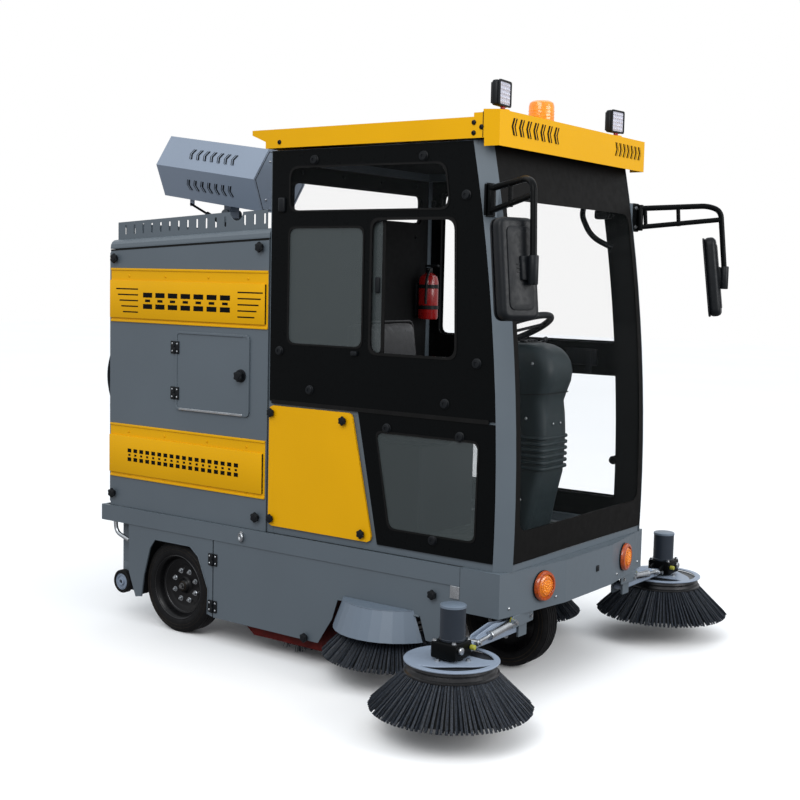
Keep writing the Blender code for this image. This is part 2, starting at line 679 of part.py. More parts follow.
def blower_housing():
    """A six-sided box tipped up at the rear, on a lug that hangs between the pedestal's cheeks."""
    pivot = add_pivot("blower_tilt", BLOWER_PIVOT)
    wide, flat, high = BLOWER_HALF_WIDE, BLOWER_HALF_FLAT, BLOWER_HALF_HIGH
    outline = [(-wide, 0), (-flat, -high), (flat, -high), (wide, 0), (flat, high), (-flat, high)]
    y, z = BLOWER_PIVOT[1:]
    shell = plate("Y", -BLOWER_LONG / 2, BLOWER_LONG / 2, outline, lean=BLOWER_TILT)
    wall = 0.006
    mouth_outline = [(u * (1 - wall / wide), v * (1 - wall / high)) for u, v in outline]
    mouth = plate("Y", -BLOWER_LONG / 2 + wall, BLOWER_LONG / 2 + 0.02, mouth_outline, lean=BLOWER_TILT)
    centre_y = y + 0.013
    shell.location = (0, centre_y, z + BLOWER_RISE)
    shift = (wall + 0.02) / 2
    mouth.location = (0, centre_y + shift * cos(BLOWER_TILT), z + BLOWER_RISE + shift * sin(BLOWER_TILT))
    lug = block((-0.030, y - 0.020, z - 0.016), (0.030, y + 0.020, z + 0.052))
    head_y, head_z = STRUT_HEAD
    ear = block((-0.0720, head_y - 0.012, head_z - 0.010), (-0.0660, head_y + 0.012, head_z + 0.024))
    return finish(fuse(cut(shell, mouth), lug, ear), "blower_housing", "light_grey_paint", pivot)


def blower_strut():
    """Gas strut: a cylinder that swings on its foot, and the rod that slides in it."""
    foot, head = Vector((STRUT_X, *STRUT_FOOT)), Vector((STRUT_X, *STRUT_HEAD))
    along = head - foot
    turn = (-atan2(along.y, along.z), 0, 0)
    full = along.length
    mouth = 0.62 * full
    swing = add_pivot("strut_swing", foot)
    slide = add_pivot("strut_slide", foot)
    profile = [(0.0065, mouth), (0.011, mouth), (0.011, 0), (0, 0), (0, 0.03), (0.0065, 0.03)]
    cylinder = turned([*profile, profile[0]], foot, turn, 16)
    finish(cylinder, "blower_strut_cylinder", "black_plastic", swing, smooth=40)
    shaft = rod(foot, 0.0055, 0.08, full, turn, 12)
    finish(shaft, "blower_strut_rod", "steel", slide, smooth=40)


# ---- running gear -------------------------------------------------------------------------
def wheel_profile(hub_out, hub_in):
    """Tyre and dished rim in one profile, the dish on top. Heights run along the axle."""
    half = WHEEL_WIDE / 2
    tyre = [(0.145, half - 0.006), (0.176, half), (WHEEL_RADIUS, half - 0.016)]
    tyre += [(r, -h) for r, h in reversed(tyre)]
    top = [(0, hub_out), (0.030, hub_out), (0.034, 0.018), (0.136, 0.018)]
    bottom = [(0.136, -0.002), (0.034, -0.002), (0.030, hub_in), (0, hub_in)]
    return top + tyre + bottom


def rear_wheels():
    for side, word in SIDES:
        at = (side * REAR_WHEEL_X, REAR_AXLE_Y, WHEEL_RADIUS)
        pivot = add_pivot(f"rear_wheel_spin_{word}", at)
        axis = "X" if side == LEFT else "-X"
        obj = turned(wheel_profile(0.042, -0.026), at, axis, 28)
        finish(obj, f"rear_wheel_{word}", "rubber", pivot, smooth=35)


def rear_axle():
    """Axle tube with the drive's housing and its motor."""
    at = (0, REAR_AXLE_Y, WHEEL_RADIUS)
    shaft = rod(at, 0.028, -0.4785, 0.4785, "X")
    housing = turned([(0, 0.13), (0.06, 0.12), (0.085, 0.06), (0.085, 0.02), (0.05, -0.05), (0, -0.05)], at, "X", 20)
    motor = rod((0.07, REAR_AXLE_Y + 0.05, WHEEL_RADIUS + 0.02), 0.062, 0, 0.20, "Y", 20)
    return finish(fuse(shaft, housing, motor), "rear_axle", "black_plastic", smooth=35)


def steer_fork():
    pivot = add_pivot("steer", (0, FRONT_AXLE_Y, 0.44))
    y = FRONT_AXLE_Y
    crown = block((-0.086, y - 0.055, 0.402), (0.086, y + 0.055, 0.420))
    arms = [
        mirrored_block(side, (0.073, y - 0.028, 0.165), (0.0855, y + 0.028, 0.410)) for side, _ in SIDES
    ]
    stem = rod((0, y, 0), 0.035, 0.415, DECK_BOTTOM - TOUCH, "Z", 20)
    return finish(fuse(crown, *arms, stem), "steer_fork", "black_plastic", pivot, smooth=35)


def front_wheel():
    at = (0, FRONT_AXLE_Y, WHEEL_RADIUS)
    pivot = add_pivot("front_wheel_spin", at)
    obj = turned(wheel_profile(0.0725, -0.0725), at, "-X", 28)
    return finish(obj, "front_wheel", "rubber", pivot, smooth=35)


def guide_wheels():
    for side, word in SIDES:
        at = (side * 0.5475, 1.988, 0.171)
        pivot = add_pivot(f"guide_wheel_spin_{word}", at)
        profile = [(0, 0.019), (0.014, 0.019), (0.034, 0.012), (0.040, 0.0175), (0.052, 0.013)]
        profile += [(0.052, -0.013), (0.040, -0.0175), (0.012, -0.0175), (0.012, -0.025), (0, -0.025)]
        obj = turned(profile, at, "X" if side == LEFT else "-X", 20)
        finish(obj, f"guide_wheel_{word}", "rubber", pivot, smooth=35)


# ---- sweeping gear ------------------------------------------------------------------------
def dirt_flaps():
    """Rubber skirts round the roller brush, in one closed ring."""
    low, high, half = 0.066, 0.400 - TOUCH, 0.537
    outline = [(0.840, low), (1.205, low), (1.266, 0.110), (1.266, high), (0.840, high)]
    ring = plate("X", -half, half, outline)
    hollow = block((-half + 0.006, 0.846, low - 0.02), (half - 0.006, 1.260, high + 0.02))
    return finish(cut(ring, hollow), "dirt_flaps", "red_rubber")


def roller_arms():
    """The trailing frame that lets the roller brush rise."""
    pivot = add_pivot("roller_lift", (0, ROLLER_PIVOT_Y, ROLLER_PIVOT_Z))
    cross = rod((0, ROLLER_PIVOT_Y, ROLLER_PIVOT_Z), 0.016, -0.484, 0.484, "X", 12)
    centre_z = ROLLER_RADIUS + 0.002
    outline = [*arc((ROLLER_Y, centre_z), 0.028, 225, 405, 5)]
    outline += [*arc((ROLLER_PIVOT_Y, ROLLER_PIVOT_Z), 0.026, 45, 225, 5)]
    arms = [plate("X", *sorted((side * 0.470, side * 0.480)), outline) for side, _ in SIDES]
    return finish(fuse(cross, *arms), "roller_arms", "steel", pivot, smooth=35)


def roller_brush():
    at = (0, ROLLER_Y, ROLLER_RADIUS + 0.002)
    pivot = add_pivot("roller_spin", at)
    half, stub = ROLLER_HALF, 0.469
    profile = [(0, stub), (0.015, stub), (0.015, half), (ROLLER_RADIUS, half)]
    profile += [(r, -h) for r, h in reversed(profile)]
    return finish(turned(profile, at, "X", 28), "roller_brush", "bristle", pivot, smooth=35)


def side_brush(name, at, pivot):
    """Steel plate and splayed bristles, hollow underneath. Heights are above the floor."""
    plate_low = BRUSH_PLATE_Z - 0.035
    tip, root = BRUSH_TIP_RADIUS, BRUSH_PLATE_RADIUS
    profile = [(0, BRUSH_PLATE_Z - TOUCH), (root, BRUSH_PLATE_Z - TOUCH), (root, plate_low)]
    profile += [(tip, BRUSH_TIP_Z), (tip - 0.030, BRUSH_TIP_Z), (root - 0.045, plate_low - 0.012)]
    profile += [(0, plate_low - 0.012)]
    return finish(turned(profile, at, "Z", 32), name, "bristle", pivot, smooth=30)


def brush_motor(at, radius=0.044):
    low, high = 0.330, 0.457
    return turned([(0, high), (radius - 0.006, high), (radius, high - 0.006), (radius, low), (0, low)], at, "Z", 20)


def front_brush_gear(side, word):
    """Parallel arm, motor head and brush of one front corner."""
    arm_at = (side * FRONT_ARM_X, FRONT_BRUSH_Y, FRONT_ARM_Z)
    head_at = (side * FRONT_ARM_END_X, FRONT_BRUSH_Y, FRONT_ARM_Z)
    brush_at = (side * FRONT_BRUSH_X, FRONT_BRUSH_Y, 0)
    arm_pivot = add_pivot(f"front_arm_lift_{word}", arm_at)
    head_pivot = add_pivot(f"front_head_level_{word}", head_at)
    spin = add_pivot(f"front_brush_spin_{word}", (*brush_at[:2], BRUSH_PLATE_Z))
    y, z = FRONT_BRUSH_Y, FRONT_ARM_Z

    beam = mirrored_block(side, (0.405, y - ARM_HALF, z - 0.012), (0.785, y + ARM_HALF, z + 0.012), bevel=0.004)
    finish(beam, f"front_arm_{word}", "light_grey_paint", arm_pivot)

    centre = FRONT_BRUSH_X
    gearbox = mirrored_block(side, (centre - 0.045, y - 0.050, 0.276), (centre + 0.060, y + 0.050, 0.334), bevel=0.006)
    cheeks = [
        mirrored_block(side, (0.752, y + low, z - 0.012), (centre, y + low + 0.008, z + 0.022))
        for low in (-ARM_HALF - 0.009, ARM_HALF + 0.001)
    ]
    ring = arc((brush_at[0], y), 0.165, 0, 345, 23)
    kidneys = [
        [*arc((brush_at[0], y), 0.140, start, start + 100, 5), *arc((brush_at[0], y), 0.085, start + 100, start, 5)]
        for start in (220, 40)
    ]
    guard = plate("Z", BRUSH_PLATE_Z + 0.001, BRUSH_PLATE_Z + 0.006, ring, kidneys)
    boss = rod(brush_at, 0.040, BRUSH_PLATE_Z + 0.002, 0.285)
    head = fuse(gearbox, brush_motor(brush_at), boss, guard, *cheeks)
    finish(head, f"front_head_{word}", "black_plastic", head_pivot)
    side_brush(f"front_brush_{word}", brush_at, spin)


def mid_brush_gear(side, word):
    """Motor head on a vertical lift, and the brush under it."""
    at = (side * MID_BRUSH_X, MID_BRUSH_Y, 0)
    lift = add_pivot(f"mid_lift_{word}", (at[0], at[1], 0.33))
    spin = add_pivot(f"mid_brush_spin_{word}", (at[0], at[1], BRUSH_PLATE_Z))
    x, y = MID_BRUSH_X, MID_BRUSH_Y
    gearbox = mirrored_block(side, (x - 0.05, y - 0.05, 0.276), (x + 0.05, y + 0.05, 0.334), bevel=0.006)
    boss = rod(at, 0.040, BRUSH_PLATE_Z + 0.001, 0.285)
    carriage = mirrored_block(side, (x - 0.055, y + 0.070, 0.285), (x + 0.035, y + 0.082, 0.437))
    bridge = mirrored_block(side, (x - 0.03, y + 0.03, 0.290), (x + 0.03, y + 0.075, 0.320))
    head = fuse(gearbox, brush_motor(at, 0.042), boss, carriage, bridge)
    head.name = "piece"
    finish(head, f"mid_head_{word}", "black_plastic", lift)
    side_brush(f"mid_brush_{word}", at, spin)


# ---- lights and mirrors -------------------------------------------------------------------
def work_light(side, word):
    """A square lamp on the roof, turned in a little."""
    at = (side * 0.442, 0.118, 2.182)
    pivot = add_pivot(f"lamp_tilt_{word}", at)
    low, high = Vector((-0.050, -0.018, -0.012)), Vector((0.050, 0.018, 0.083))
    lamp = block(low + Vector(at), high + Vector(at), bevel=0.006, turn=(0, 0, side * radians(-5)))
    return finish(lamp, f"work_light_{word}", "black_plastic", pivot)


def mirror(side, word):
    """Tube frame and mirror head. The tube's upright stands in front of the head."""
    def at(x, y, z):
        return (side * x, y, z)

    root = add_pivot(f"mirror_fold_{word}", at(0.590, 0.073, 1.829))
    upper = tube([at(0.590, 0.073, 1.868), at(0.740, -0.155, 1.880), at(0.766, -0.192, 1.868),
                  at(0.778, -0.207, 1.830), at(0.804, -0.233, 1.500)], 0.009)
    lower = tube([at(0.590, 0.073, 1.790), at(0.7775, -0.2065, 1.835)], 0.008)
    brace = tube([at(0.678, -0.061, 1.877), at(0.682, -0.065, 1.811)], 0.007)
    post = tube([at(0.590, 0.073, 1.775), at(0.590, 0.073, 1.883)], 0.012)
    finish(fuse(upper, lower, brace, post), f"mirror_arm_{word}", "black_plastic", root, smooth=40)

    head_pivot = add_pivot(f"mirror_aim_{word}", at(0.797, -0.226, 1.588))
    low, high = Vector((-0.078, -0.026, -0.168)), Vector((0.078, 0.026, 0.168))
    centre = Vector(at(0.812, -0.168, 1.588))
    turn = (radians(-7), 0, side * radians(20))
    head = block(low + centre, high + centre, bevel=0.018, segments=2, turn=turn)
    finish(head, f"mirror_head_{word}", "black_plastic", head_pivot, smooth=40)


def build():
    add_pivot("machine")
    chassis_frame()
    front_bumper()
    cab_frame()
    windscreen()
    upper_glass()
    lower_glass()
    cab_panel()
    window_slider()
    cab_door()
    roof()
    rear_wall()
    seat()
    steering_console()
    steering_wheel()
    accelerator_pedal()
    rear_body()
    hatch()
    rear_door()
    dust_bin()
    hood()
    guard_rail()
    blower_pedestal()
    blower_housing()
    blower_strut()
    rear_axle()
    rear_wheels()
    steer_fork()
    front_wheel()
    guide_wheels()
    dirt_flaps()
    roller_arms()
    roller_brush()
    for side, word in SIDES:
        fender(side, word)
        skirt_door(side, word)
        mid_cover(side, word)
        front_brush_gear(side, word)
        mid_brush_gear(side, word)
        work_light(side, word)
        mirror(side, word)


build()
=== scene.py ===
"""Looks of a ride-on street sweeper: painted sheet steel, a glazed cab, four splayed side brushes.

Lengths are metres, +Z up. The machine drives towards -Y, so its right side is at -X.
"""

import random
from math import atan, cos, pi, radians, sin, tau

import bmesh
import bpy
from mathutils import Matrix, Vector


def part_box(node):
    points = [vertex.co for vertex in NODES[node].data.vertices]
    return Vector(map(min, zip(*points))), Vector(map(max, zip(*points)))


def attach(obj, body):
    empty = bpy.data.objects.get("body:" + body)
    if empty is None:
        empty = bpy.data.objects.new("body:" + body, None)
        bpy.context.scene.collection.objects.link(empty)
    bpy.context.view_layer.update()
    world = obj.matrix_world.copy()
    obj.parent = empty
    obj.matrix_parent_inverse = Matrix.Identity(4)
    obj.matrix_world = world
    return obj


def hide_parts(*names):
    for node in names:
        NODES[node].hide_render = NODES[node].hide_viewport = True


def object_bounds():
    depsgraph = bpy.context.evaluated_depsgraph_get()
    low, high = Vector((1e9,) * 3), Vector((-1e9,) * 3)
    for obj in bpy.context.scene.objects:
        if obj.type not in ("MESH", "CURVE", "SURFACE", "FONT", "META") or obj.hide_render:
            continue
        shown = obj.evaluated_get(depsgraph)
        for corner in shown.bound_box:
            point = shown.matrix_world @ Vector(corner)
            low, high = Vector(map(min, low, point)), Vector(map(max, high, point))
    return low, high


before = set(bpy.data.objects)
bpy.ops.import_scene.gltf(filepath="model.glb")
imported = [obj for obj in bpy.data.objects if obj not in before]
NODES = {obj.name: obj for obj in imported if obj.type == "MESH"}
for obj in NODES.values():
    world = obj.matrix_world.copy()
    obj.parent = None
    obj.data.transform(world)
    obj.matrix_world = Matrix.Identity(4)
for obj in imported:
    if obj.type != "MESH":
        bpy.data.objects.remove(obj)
CAD_BOX = [list(corner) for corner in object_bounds()]

# ---- where things are ---------------------------------------------------------------------
RIGHT, LEFT = -1, 1
SIDES = ((RIGHT, "right"), (LEFT, "left"))
CORNER_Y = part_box("front_bumper")[1].y - 0.168  # front corners of the bumper
PANEL_X = 0.557  # outer face of the body's side panels
BELT_X = 0.575  # outer face of the belt rail
GLASS = 0.0055  # thickness of the side panels and the windscreen
HOOD_SLOPE = 0.051
WHEEL_R = 0.198
TYRE_HALF = 0.050
GUARD_R = 0.165  # guard plate over a front brush
FRONT_BRUSH = (0.842, 0.018)  # x and y of the left spindles
MID_BRUSH = (0.458, 0.540)
EYE = (-4.3865, -2.3212, 1.5409)
LENS = 57.48
VIEW_YAW, VIEW_PITCH, VIEW_ROLL = radians(53.93), radians(5.32), radians(1.31)
GROUND_LIGHT = (0.20, 0.20, 0.21, 1)
SIDE_LIGHT = (0.40, 0.40, 0.41, 1)
TOP_LIGHT = (0.92, 0.96, 1.0, 1)
SKY_STRENGTH = 1.35


def screen_line(z):
    """y of the bowed windscreen at height z, counted from the bumper's corners."""
    return -0.017 + 0.0772 * (z - 0.72) ** 2


def hood_top(y):
    """Height of the sloping hood at y."""
    return 1.694 + HOOD_SLOPE * (2.068 - y)


# ---- materials ----------------------------------------------------------------------------
class Surface:
    """A node material under construction: one principled shader fed by patterns in metres."""

    def __init__(self, name, colour, roughness, metallic=0.0, **more):
        self.material = bpy.data.materials.new(name)
        self.material.use_nodes = True
        self.tree = self.material.node_tree
        self.shader = self.tree.nodes["Principled BSDF"]
        self.set("Base Color", (*colour, 1))
        self.set("Roughness", roughness)
        self.set("Metallic", metallic)
        for socket, value in more.items():
            self.set(socket.replace("_", " "), value)
        self.coordinates = self.tree.nodes.new("ShaderNodeTexCoord")
        self.height = None

    def set(self, socket, value):
        self.shader.inputs[socket].default_value = value

    def link(self, out, into):
        self.tree.links.new(out, into)

    def stretched(self, stretch):
        if stretch is None:
            return self.coordinates.outputs["Object"]
        mapping = self.tree.nodes.new("ShaderNodeMapping")
        mapping.inputs["Scale"].default_value = stretch
        self.link(self.coordinates.outputs["Object"], mapping.inputs["Vector"])
        return mapping.outputs["Vector"]

    def noise(self, per_metre, detail=3, stretch=None):
        node = self.tree.nodes.new("ShaderNodeTexNoise")
        node.inputs["Scale"].default_value = per_metre
        node.inputs["Detail"].default_value = detail
        self.link(self.stretched(stretch), node.inputs["Vector"])
        return node.outputs["Fac"]

    def cells(self, per_metre, stretch=None):
        node = self.tree.nodes.new("ShaderNodeTexVoronoi")
        node.inputs["Scale"].default_value = per_metre
        self.link(self.stretched(stretch), node.inputs["Vector"])
        return node.outputs["Distance"]

    def blend(self, pattern, low, high, colours):
        """Colour runs between two shades where the pattern goes from low to high."""
        ramp = self.tree.nodes.new("ShaderNodeValToRGB")
        for stop, place, colour in zip(ramp.color_ramp.elements, (low, high), colours):
            stop.position = place
            stop.color = (*colour, 1)
        self.link(pattern, ramp.inputs["Fac"])
        self.link(ramp.outputs["Color"], self.shader.inputs["Base Color"])
        return self

    def rough(self, pattern, low, high):
        spread = self.tree.nodes.new("ShaderNodeMapRange")
        spread.inputs["From Min"].default_value = 0.3
        spread.inputs["From Max"].default_value = 0.7
        spread.inputs["To Min"].default_value = low
        spread.inputs["To Max"].default_value = high
        self.link(pattern, spread.inputs["Value"])
        self.link(spread.outputs["Result"], self.shader.inputs["Roughness"])
        return self

    def relief(self, pattern, depth, strength=1.0):
        bump = self.tree.nodes.new("ShaderNodeBump")
        bump.inputs["Distance"].default_value = depth
        bump.inputs["Strength"].default_value = strength
        self.link(pattern, bump.inputs["Height"])
        if self.height:
            self.link(self.height, bump.inputs["Normal"])
        self.height = bump.outputs["Normal"]
        self.link(self.height, self.shader.inputs["Normal"])
        return self


def scaled(colour, factor):
    return tuple(min(1.0, c * factor) for c in colour)


def powder_coat(name, colour, roughness, gloss_coat=0.0, sheen=0.5):
    """Sprayed and baked paint: faint orange peel, slight drift of shade and gloss."""
    s = Surface(name, colour, roughness, Coat_Weight=gloss_coat, Coat_Roughness=0.12)
    s.set("Specular IOR Level", sheen)
    s.blend(s.noise(2.5, 3), 0.35, 0.68, (scaled(colour, 0.97), scaled(colour, 1.03)))
    s.rough(s.noise(38, 4), roughness - 0.05, roughness + 0.06)
    return s.relief(s.noise(300, 2), 0.00010, 0.35).material


def moulded(name, colour, roughness, grain=700):
    """Moulded plastic with a spark-eroded grain."""
    s = Surface(name, colour, roughness)
    s.set("Specular IOR Level", 0.2)
    s.blend(s.noise(24, 4), 0.3, 0.75, (scaled(colour, 0.85), scaled(colour, 1.2)))
    s.rough(s.noise(60, 4), roughness - 0.06, roughness + 0.10)
    return s.relief(s.cells(grain), 0.00015, 0.35).material


def rubber(name, colour, roughness=0.72):
    s = Surface(name, colour, roughness)
    s.set("Specular IOR Level", 0.15)
    s.blend(s.noise(18, 6), 0.42, 0.74, (colour, scaled(colour, 1.7)))
    s.rough(s.noise(70, 5), roughness - 0.10, roughness + 0.12)
    return s.relief(s.noise(520, 3), 0.0003, 0.6).material


def bare_metal(name, colour, roughness, lay):
    """Machined or plated metal, its fine lines along one direction."""
    s = Surface(name, colour, roughness, metallic=1.0)
    s.blend(s.noise(30, 4), 0.3, 0.75, (scaled(colour, 0.78), scaled(colour, 1.08)))
    s.rough(s.noise(260, 3, lay), roughness - 0.08, roughness + 0.12)
    return s.relief(s.noise(700, 2, lay), 0.00008, 0.5).material


def glazing(name, colour, opacity):
    s = Surface(name, colour, 0.04, Alpha=opacity, IOR=1.5)
    s.set("Specular IOR Level", 0.6)
    s.rough(s.noise(3, 3), 0.03, 0.09)
    return s.material


def lens(name, colour, glow, facets=260):
    """Moulded lens: saturated plastic that seems lit from within, with pressed facets."""
    s = Surface(name, colour, 0.12, Coat_Weight=0.4, IOR=1.49)
    s.set("Emission Color", (*colour, 1))
    s.set("Emission Strength", glow)
    s.blend(s.cells(facets), 0.1, 0.8, (scaled(colour, 1.1), scaled(colour, 0.62)))
    return s.relief(s.cells(facets), 0.0010, 0.5).material


def hide(name, colour):
    """Vinyl seat cover: pebbled grain and soft creases."""
    s = Surface(name, colour, 0.5)
    s.set("Sheen Weight", 0.15)
    s.blend(s.noise(14, 5), 0.35, 0.7, (scaled(colour, 0.75), scaled(colour, 1.5)))
    s.rough(s.noise(45, 3), 0.42, 0.60)
    return s.relief(s.cells(420), 0.0006, 0.6).relief(s.noise(16, 3), 0.003, 0.4).material


def fibre(name, root, tip):
    """Crimped plastic bristle, in strands that differ a little; the lighter blue-grey among them is painted
    sheen.
    """
    s = Surface(name, root, 0.5)
    s.set("Specular IOR Level", 0.3)
    s.blend(s.noise(210, 3), 0.38, 0.66, (root, tip))
    s.rough(s.noise(120, 2), 0.38, 0.62)
    return s.relief(s.noise(900, 2, (1, 1, 0.15)), 0.0006, 0.6).material


GREY = (0.088, 0.110, 0.130)
BLACK = (0.0045, 0.0058, 0.0075)
grey_paint = powder_coat("body_grey_powder_coat", GREY, 0.40)
pale_paint = powder_coat("pale_grey_powder_coat", (0.215, 0.262, 0.335), 0.38)
# The light grey paint made darker: painted shade on the middle brush covers under the cab; the motor caps
# wear it too.
light_grey_with_painted_shade = powder_coat("brush_cover_paint", (0.115, 0.148, 0.190), 0.36)
motor_paint = powder_coat("motor_can_paint", (0.018, 0.024, 0.034), 0.36, 0.0, 0.3)
yellow_paint = powder_coat("yellow_powder_coat", (0.71, 0.362, 0.002), 0.36, 0.0, 0.12)
black_paint = powder_coat("black_powder_coat", (0.0026, 0.0031, 0.0034), 0.30, 0.0, 0.06)
screen_print = powder_coat("black_screen_print", (0.0040, 0.0038, 0.0036), 0.45, 0.0, 0.06)
matt_black = powder_coat("matt_black_lining", (0.006, 0.0065, 0.007), 0.66, 0.0, 0.08)
hard_plastic = moulded("black_moulded_plastic", BLACK, 0.42)
console_plastic = moulded("console_plastic", (0.0155, 0.0235, 0.0265), 0.44, 600)
tyre_rubber = rubber("tyre_rubber", (0.0055, 0.0055, 0.006))
tyre_line = rubber("tyre_line_rubber", (0.026, 0.019, 0.012), 0.6)
seal_rubber = rubber("window_seal", (0.003, 0.003, 0.003), 0.55)
flap_rubber = rubber("red_flap_rubber", (0.060, 0.004, 0.003), 0.62)
mat_rubber = rubber("floor_mat_rubber", (0.060, 0.072, 0.068), 0.7)
zinc = bare_metal("zinc_plate", (0.50, 0.52, 0.54), 0.28, (1, 1, 1))
drawn_steel = bare_metal("drawn_steel", (0.20, 0.20, 0.20), 0.30, (0.3, 1, 1))
worn_steel = bare_metal("worn_brush_plate", (0.060, 0.060, 0.062), 0.34, (1, 1, 0.2))
black_steel = powder_coat("black_wheel_paint", (0.0035, 0.0035, 0.004), 0.30, 0.0, 0.2)
clear_glass = glazing("clear_cab_glass", (0.05, 0.06, 0.06), 0.025)
tinted_glass = glazing("tinted_cab_glass", (0.085, 0.105, 0.108), 0.36)
amber = lens("amber_lens", (0.72, 0.190, 0.006), 0.10)
amber_core = lens("amber_core", (0.90, 0.300, 0.020), 0.18, 400)
beacon_amber = lens("beacon_amber", (0.86, 0.250, 0.006), 0.28, 160)
orange_bezel = lens("orange_bezel", (0.40, 0.060, 0.004), 0.02, 120)
lamp_glass = lens("lamp_lens", (0.52, 0.53, 0.62), 0.16)
red_lens = lens("red_lens", (0.42, 0.008, 0.008), 0.05)
red_enamel = powder_coat("red_enamel", (0.30, 0.006, 0.006), 0.26, 0.3)
ochre_enamel = powder_coat("fitting_ochre", (0.30, 0.30, 0.03), 0.4)
vinyl = hide("black_seat_vinyl", (0.009, 0.010, 0.012))
# Black bristles; the second, blue-grey colour is painted sheen.
bristles = fibre("black_bristles", (0.0036, 0.0050, 0.0070), (0.023, 0.031, 0.046))
mirror_silver = Surface("mirror_silver", (0.85, 0.87, 0.88), 0.03, metallic=1.0)
mirror_silver = mirror_silver.rough(mirror_silver.noise(6), 0.02, 0.05).material


# ---- shapes: each returns a bmesh ---------------------------------------------------------
def brick(size, bevel=0.0, segments=2):
    """A rectangular block about the origin, every edge rounded."""
    bm = bmesh.new()
    bmesh.ops.create_cube(bm, size=1)
    bmesh.ops.scale(bm, vec=size, verts=bm.verts)
    if bevel:
        soften(bm, bevel, segments)
    return bm


def soften(bm, width, segments=2, sharper=0.5):
    """Rounds the edges whose two faces turn by more than the given angle, in radians."""
    edges = [e for e in bm.edges if len(e.link_faces) == 2 and e.calc_face_angle() > sharper]
    bmesh.ops.bevel(
        bm, geom=edges, offset=width, segments=segments, profile=0.5, affect="EDGES", material=-1
    )
    return bm


def spun(profile, steps=40):
    """A profile of (radius, height) points turned all the way round the z axis."""
    bm = bmesh.new()
    points = [bm.verts.new((r, 0, h)) for r, h in profile]
    edges = [bm.edges.new(pair) for pair in zip(points, points[1:])]
    bmesh.ops.spin(
        bm, geom=points + edges, cent=(0, 0, 0), axis=(0, 0, 1), angle=tau, steps=steps, use_merge=True
    )
    bmesh.ops.remove_doubles(bm, verts=bm.verts, dist=1e-6)
    return bm


def drum(radius, low, high, bevel=0.0, steps=32):
    b = bevel
    if not b:
        return spun([(0, low), (radius, low), (radius, high), (0, high)], steps)
    edge = [(radius - b, low), (radius - 0.3 * b, low + 0.3 * b), (radius, low + b)]
    crown = [(radius, high - b), (radius - 0.3 * b, high - 0.3 * b), (radius - b, high)]
    return spun([(0, low), *edge, *crown, (0, high)], steps)


def sheet(loops, thick, bevel=0.0, segments=1):
    """A flat outline with any holes, in xy, made solid from z = 0 up to its thickness."""
    bm = bmesh.new()
    for loop in loops:
        points = [bm.verts.new((*p, 0)) for p in loop]
        for pair in zip(points, points[1:] + points[:1]):
            bm.edges.new(pair)
    bmesh.ops.triangle_fill(bm, use_beauty=True, edges=bm.edges, normal=(0, 0, 1))
    lift(bm, thick)
    if bevel:
        bmesh.ops.recalc_face_normals(bm, faces=bm.faces)
        soften(bm, bevel, segments)
    return bm


def lift(bm, thick):
    """Extrudes an open surface along z into a solid."""
    made = bmesh.ops.extrude_face_region(bm, geom=bm.faces[:])["geom"]
    top = [v for v in made if isinstance(v, bmesh.types.BMVert)]
    bmesh.ops.translate(bm, vec=(0, 0, thick), verts=top)


def arc(centre, radius, start, end, steps):
    turns = [radians(start + (end - start) * i / steps) for i in range(steps + 1)]
    return [(centre[0] + radius * cos(a), centre[1] + radius * sin(a)) for a in turns]


def rounded(corners, radius, steps=5):
    """A closed outline with each corner replaced by a smooth curve."""
    points = []
    for i, corner in enumerate(corners):
        here = Vector(corner)
        back, ahead = Vector(corners[i - 1]) - here, Vector(corners[(i + 1) % len(corners)]) - here
        reach = min(radius, back.length / 2.01, ahead.length / 2.01)
        start, stop = here + back.normalized() * reach, here + ahead.normalized() * reach
        for k in range(steps + 1):
            t = k / steps
            points.append(tuple((1 - t) ** 2 * start + 2 * t * (1 - t) * here + t * t * stop))
    return points


def frame_of(low_u, high_u, low_v, high_v):
    return [(low_u, low_v), (high_u, low_v), (high_u, high_v), (low_u, high_v)]


def pipe(points, radius, steps=12, bend=0.0):
    """A round bar or tube along points, its corners bent to a radius."""
    points = bent([Vector(p) for p in points], bend) if bend else [Vector(p) for p in points]
    runs = [(b - a).normalized() for a, b in zip(points, points[1:])]
    headings = [runs[0], *[(a + b).normalized() for a, b in zip(runs, runs[1:])], runs[-1]]
    bm = bmesh.new()
    bmesh.ops.create_circle(bm, cap_ends=False, radius=radius, segments=steps)
    turn = Vector((0, 0, 1)).rotation_difference(headings[0]).to_matrix().to_4x4()
    bmesh.ops.transform(bm, matrix=Matrix.Translation(points[0]) @ turn, verts=bm.verts)
    edges = bm.edges[:]
    for i in range(1, len(points)):
        made = bmesh.ops.extrude_edge_only(bm, edges=edges)["geom"]
        verts = [g for g in made if isinstance(g, bmesh.types.BMVert)]
        edges = [g for g in made if isinstance(g, bmesh.types.BMEdge)]
        swing = headings[i - 1].rotation_difference(headings[i]).to_matrix().to_4x4()
        move = Matrix.Translation(points[i]) @ swing @ Matrix.Translation(-points[i - 1])
        bmesh.ops.transform(bm, matrix=move, verts=verts)
    bmesh.ops.holes_fill(bm, edges=bm.edges, sides=steps)
    return bm


def bent(points, radius, steps=6):
    """The points with each corner rounded by a curve that starts a radius before it."""
    path = [points[0]]
    for before, here, after in zip(points, points[1:], points[2:]):
        reach = min(radius, (before - here).length / 2.01, (after - here).length / 2.01)
        start = here + (before - here).normalized() * reach
        stop = here + (after - here).normalized() * reach
        for k in range(steps + 1):
            t = k / steps
            path.append((1 - t) ** 2 * start + 2 * t * (1 - t) * here + t * t * stop)
    return [*path, points[-1]]


# ---- placing ------------------------------------------------------------------------------
def at(x, y, z):
    """A point given from the bumper's corner line."""
    return Vector((x, y + CORNER_Y, z))


def axes(u, v, w, origin=(0, 0, 0)):
    matrix = Matrix((u, v, w)).transposed().to_4x4()
    matrix.translation = origin
    return matrix


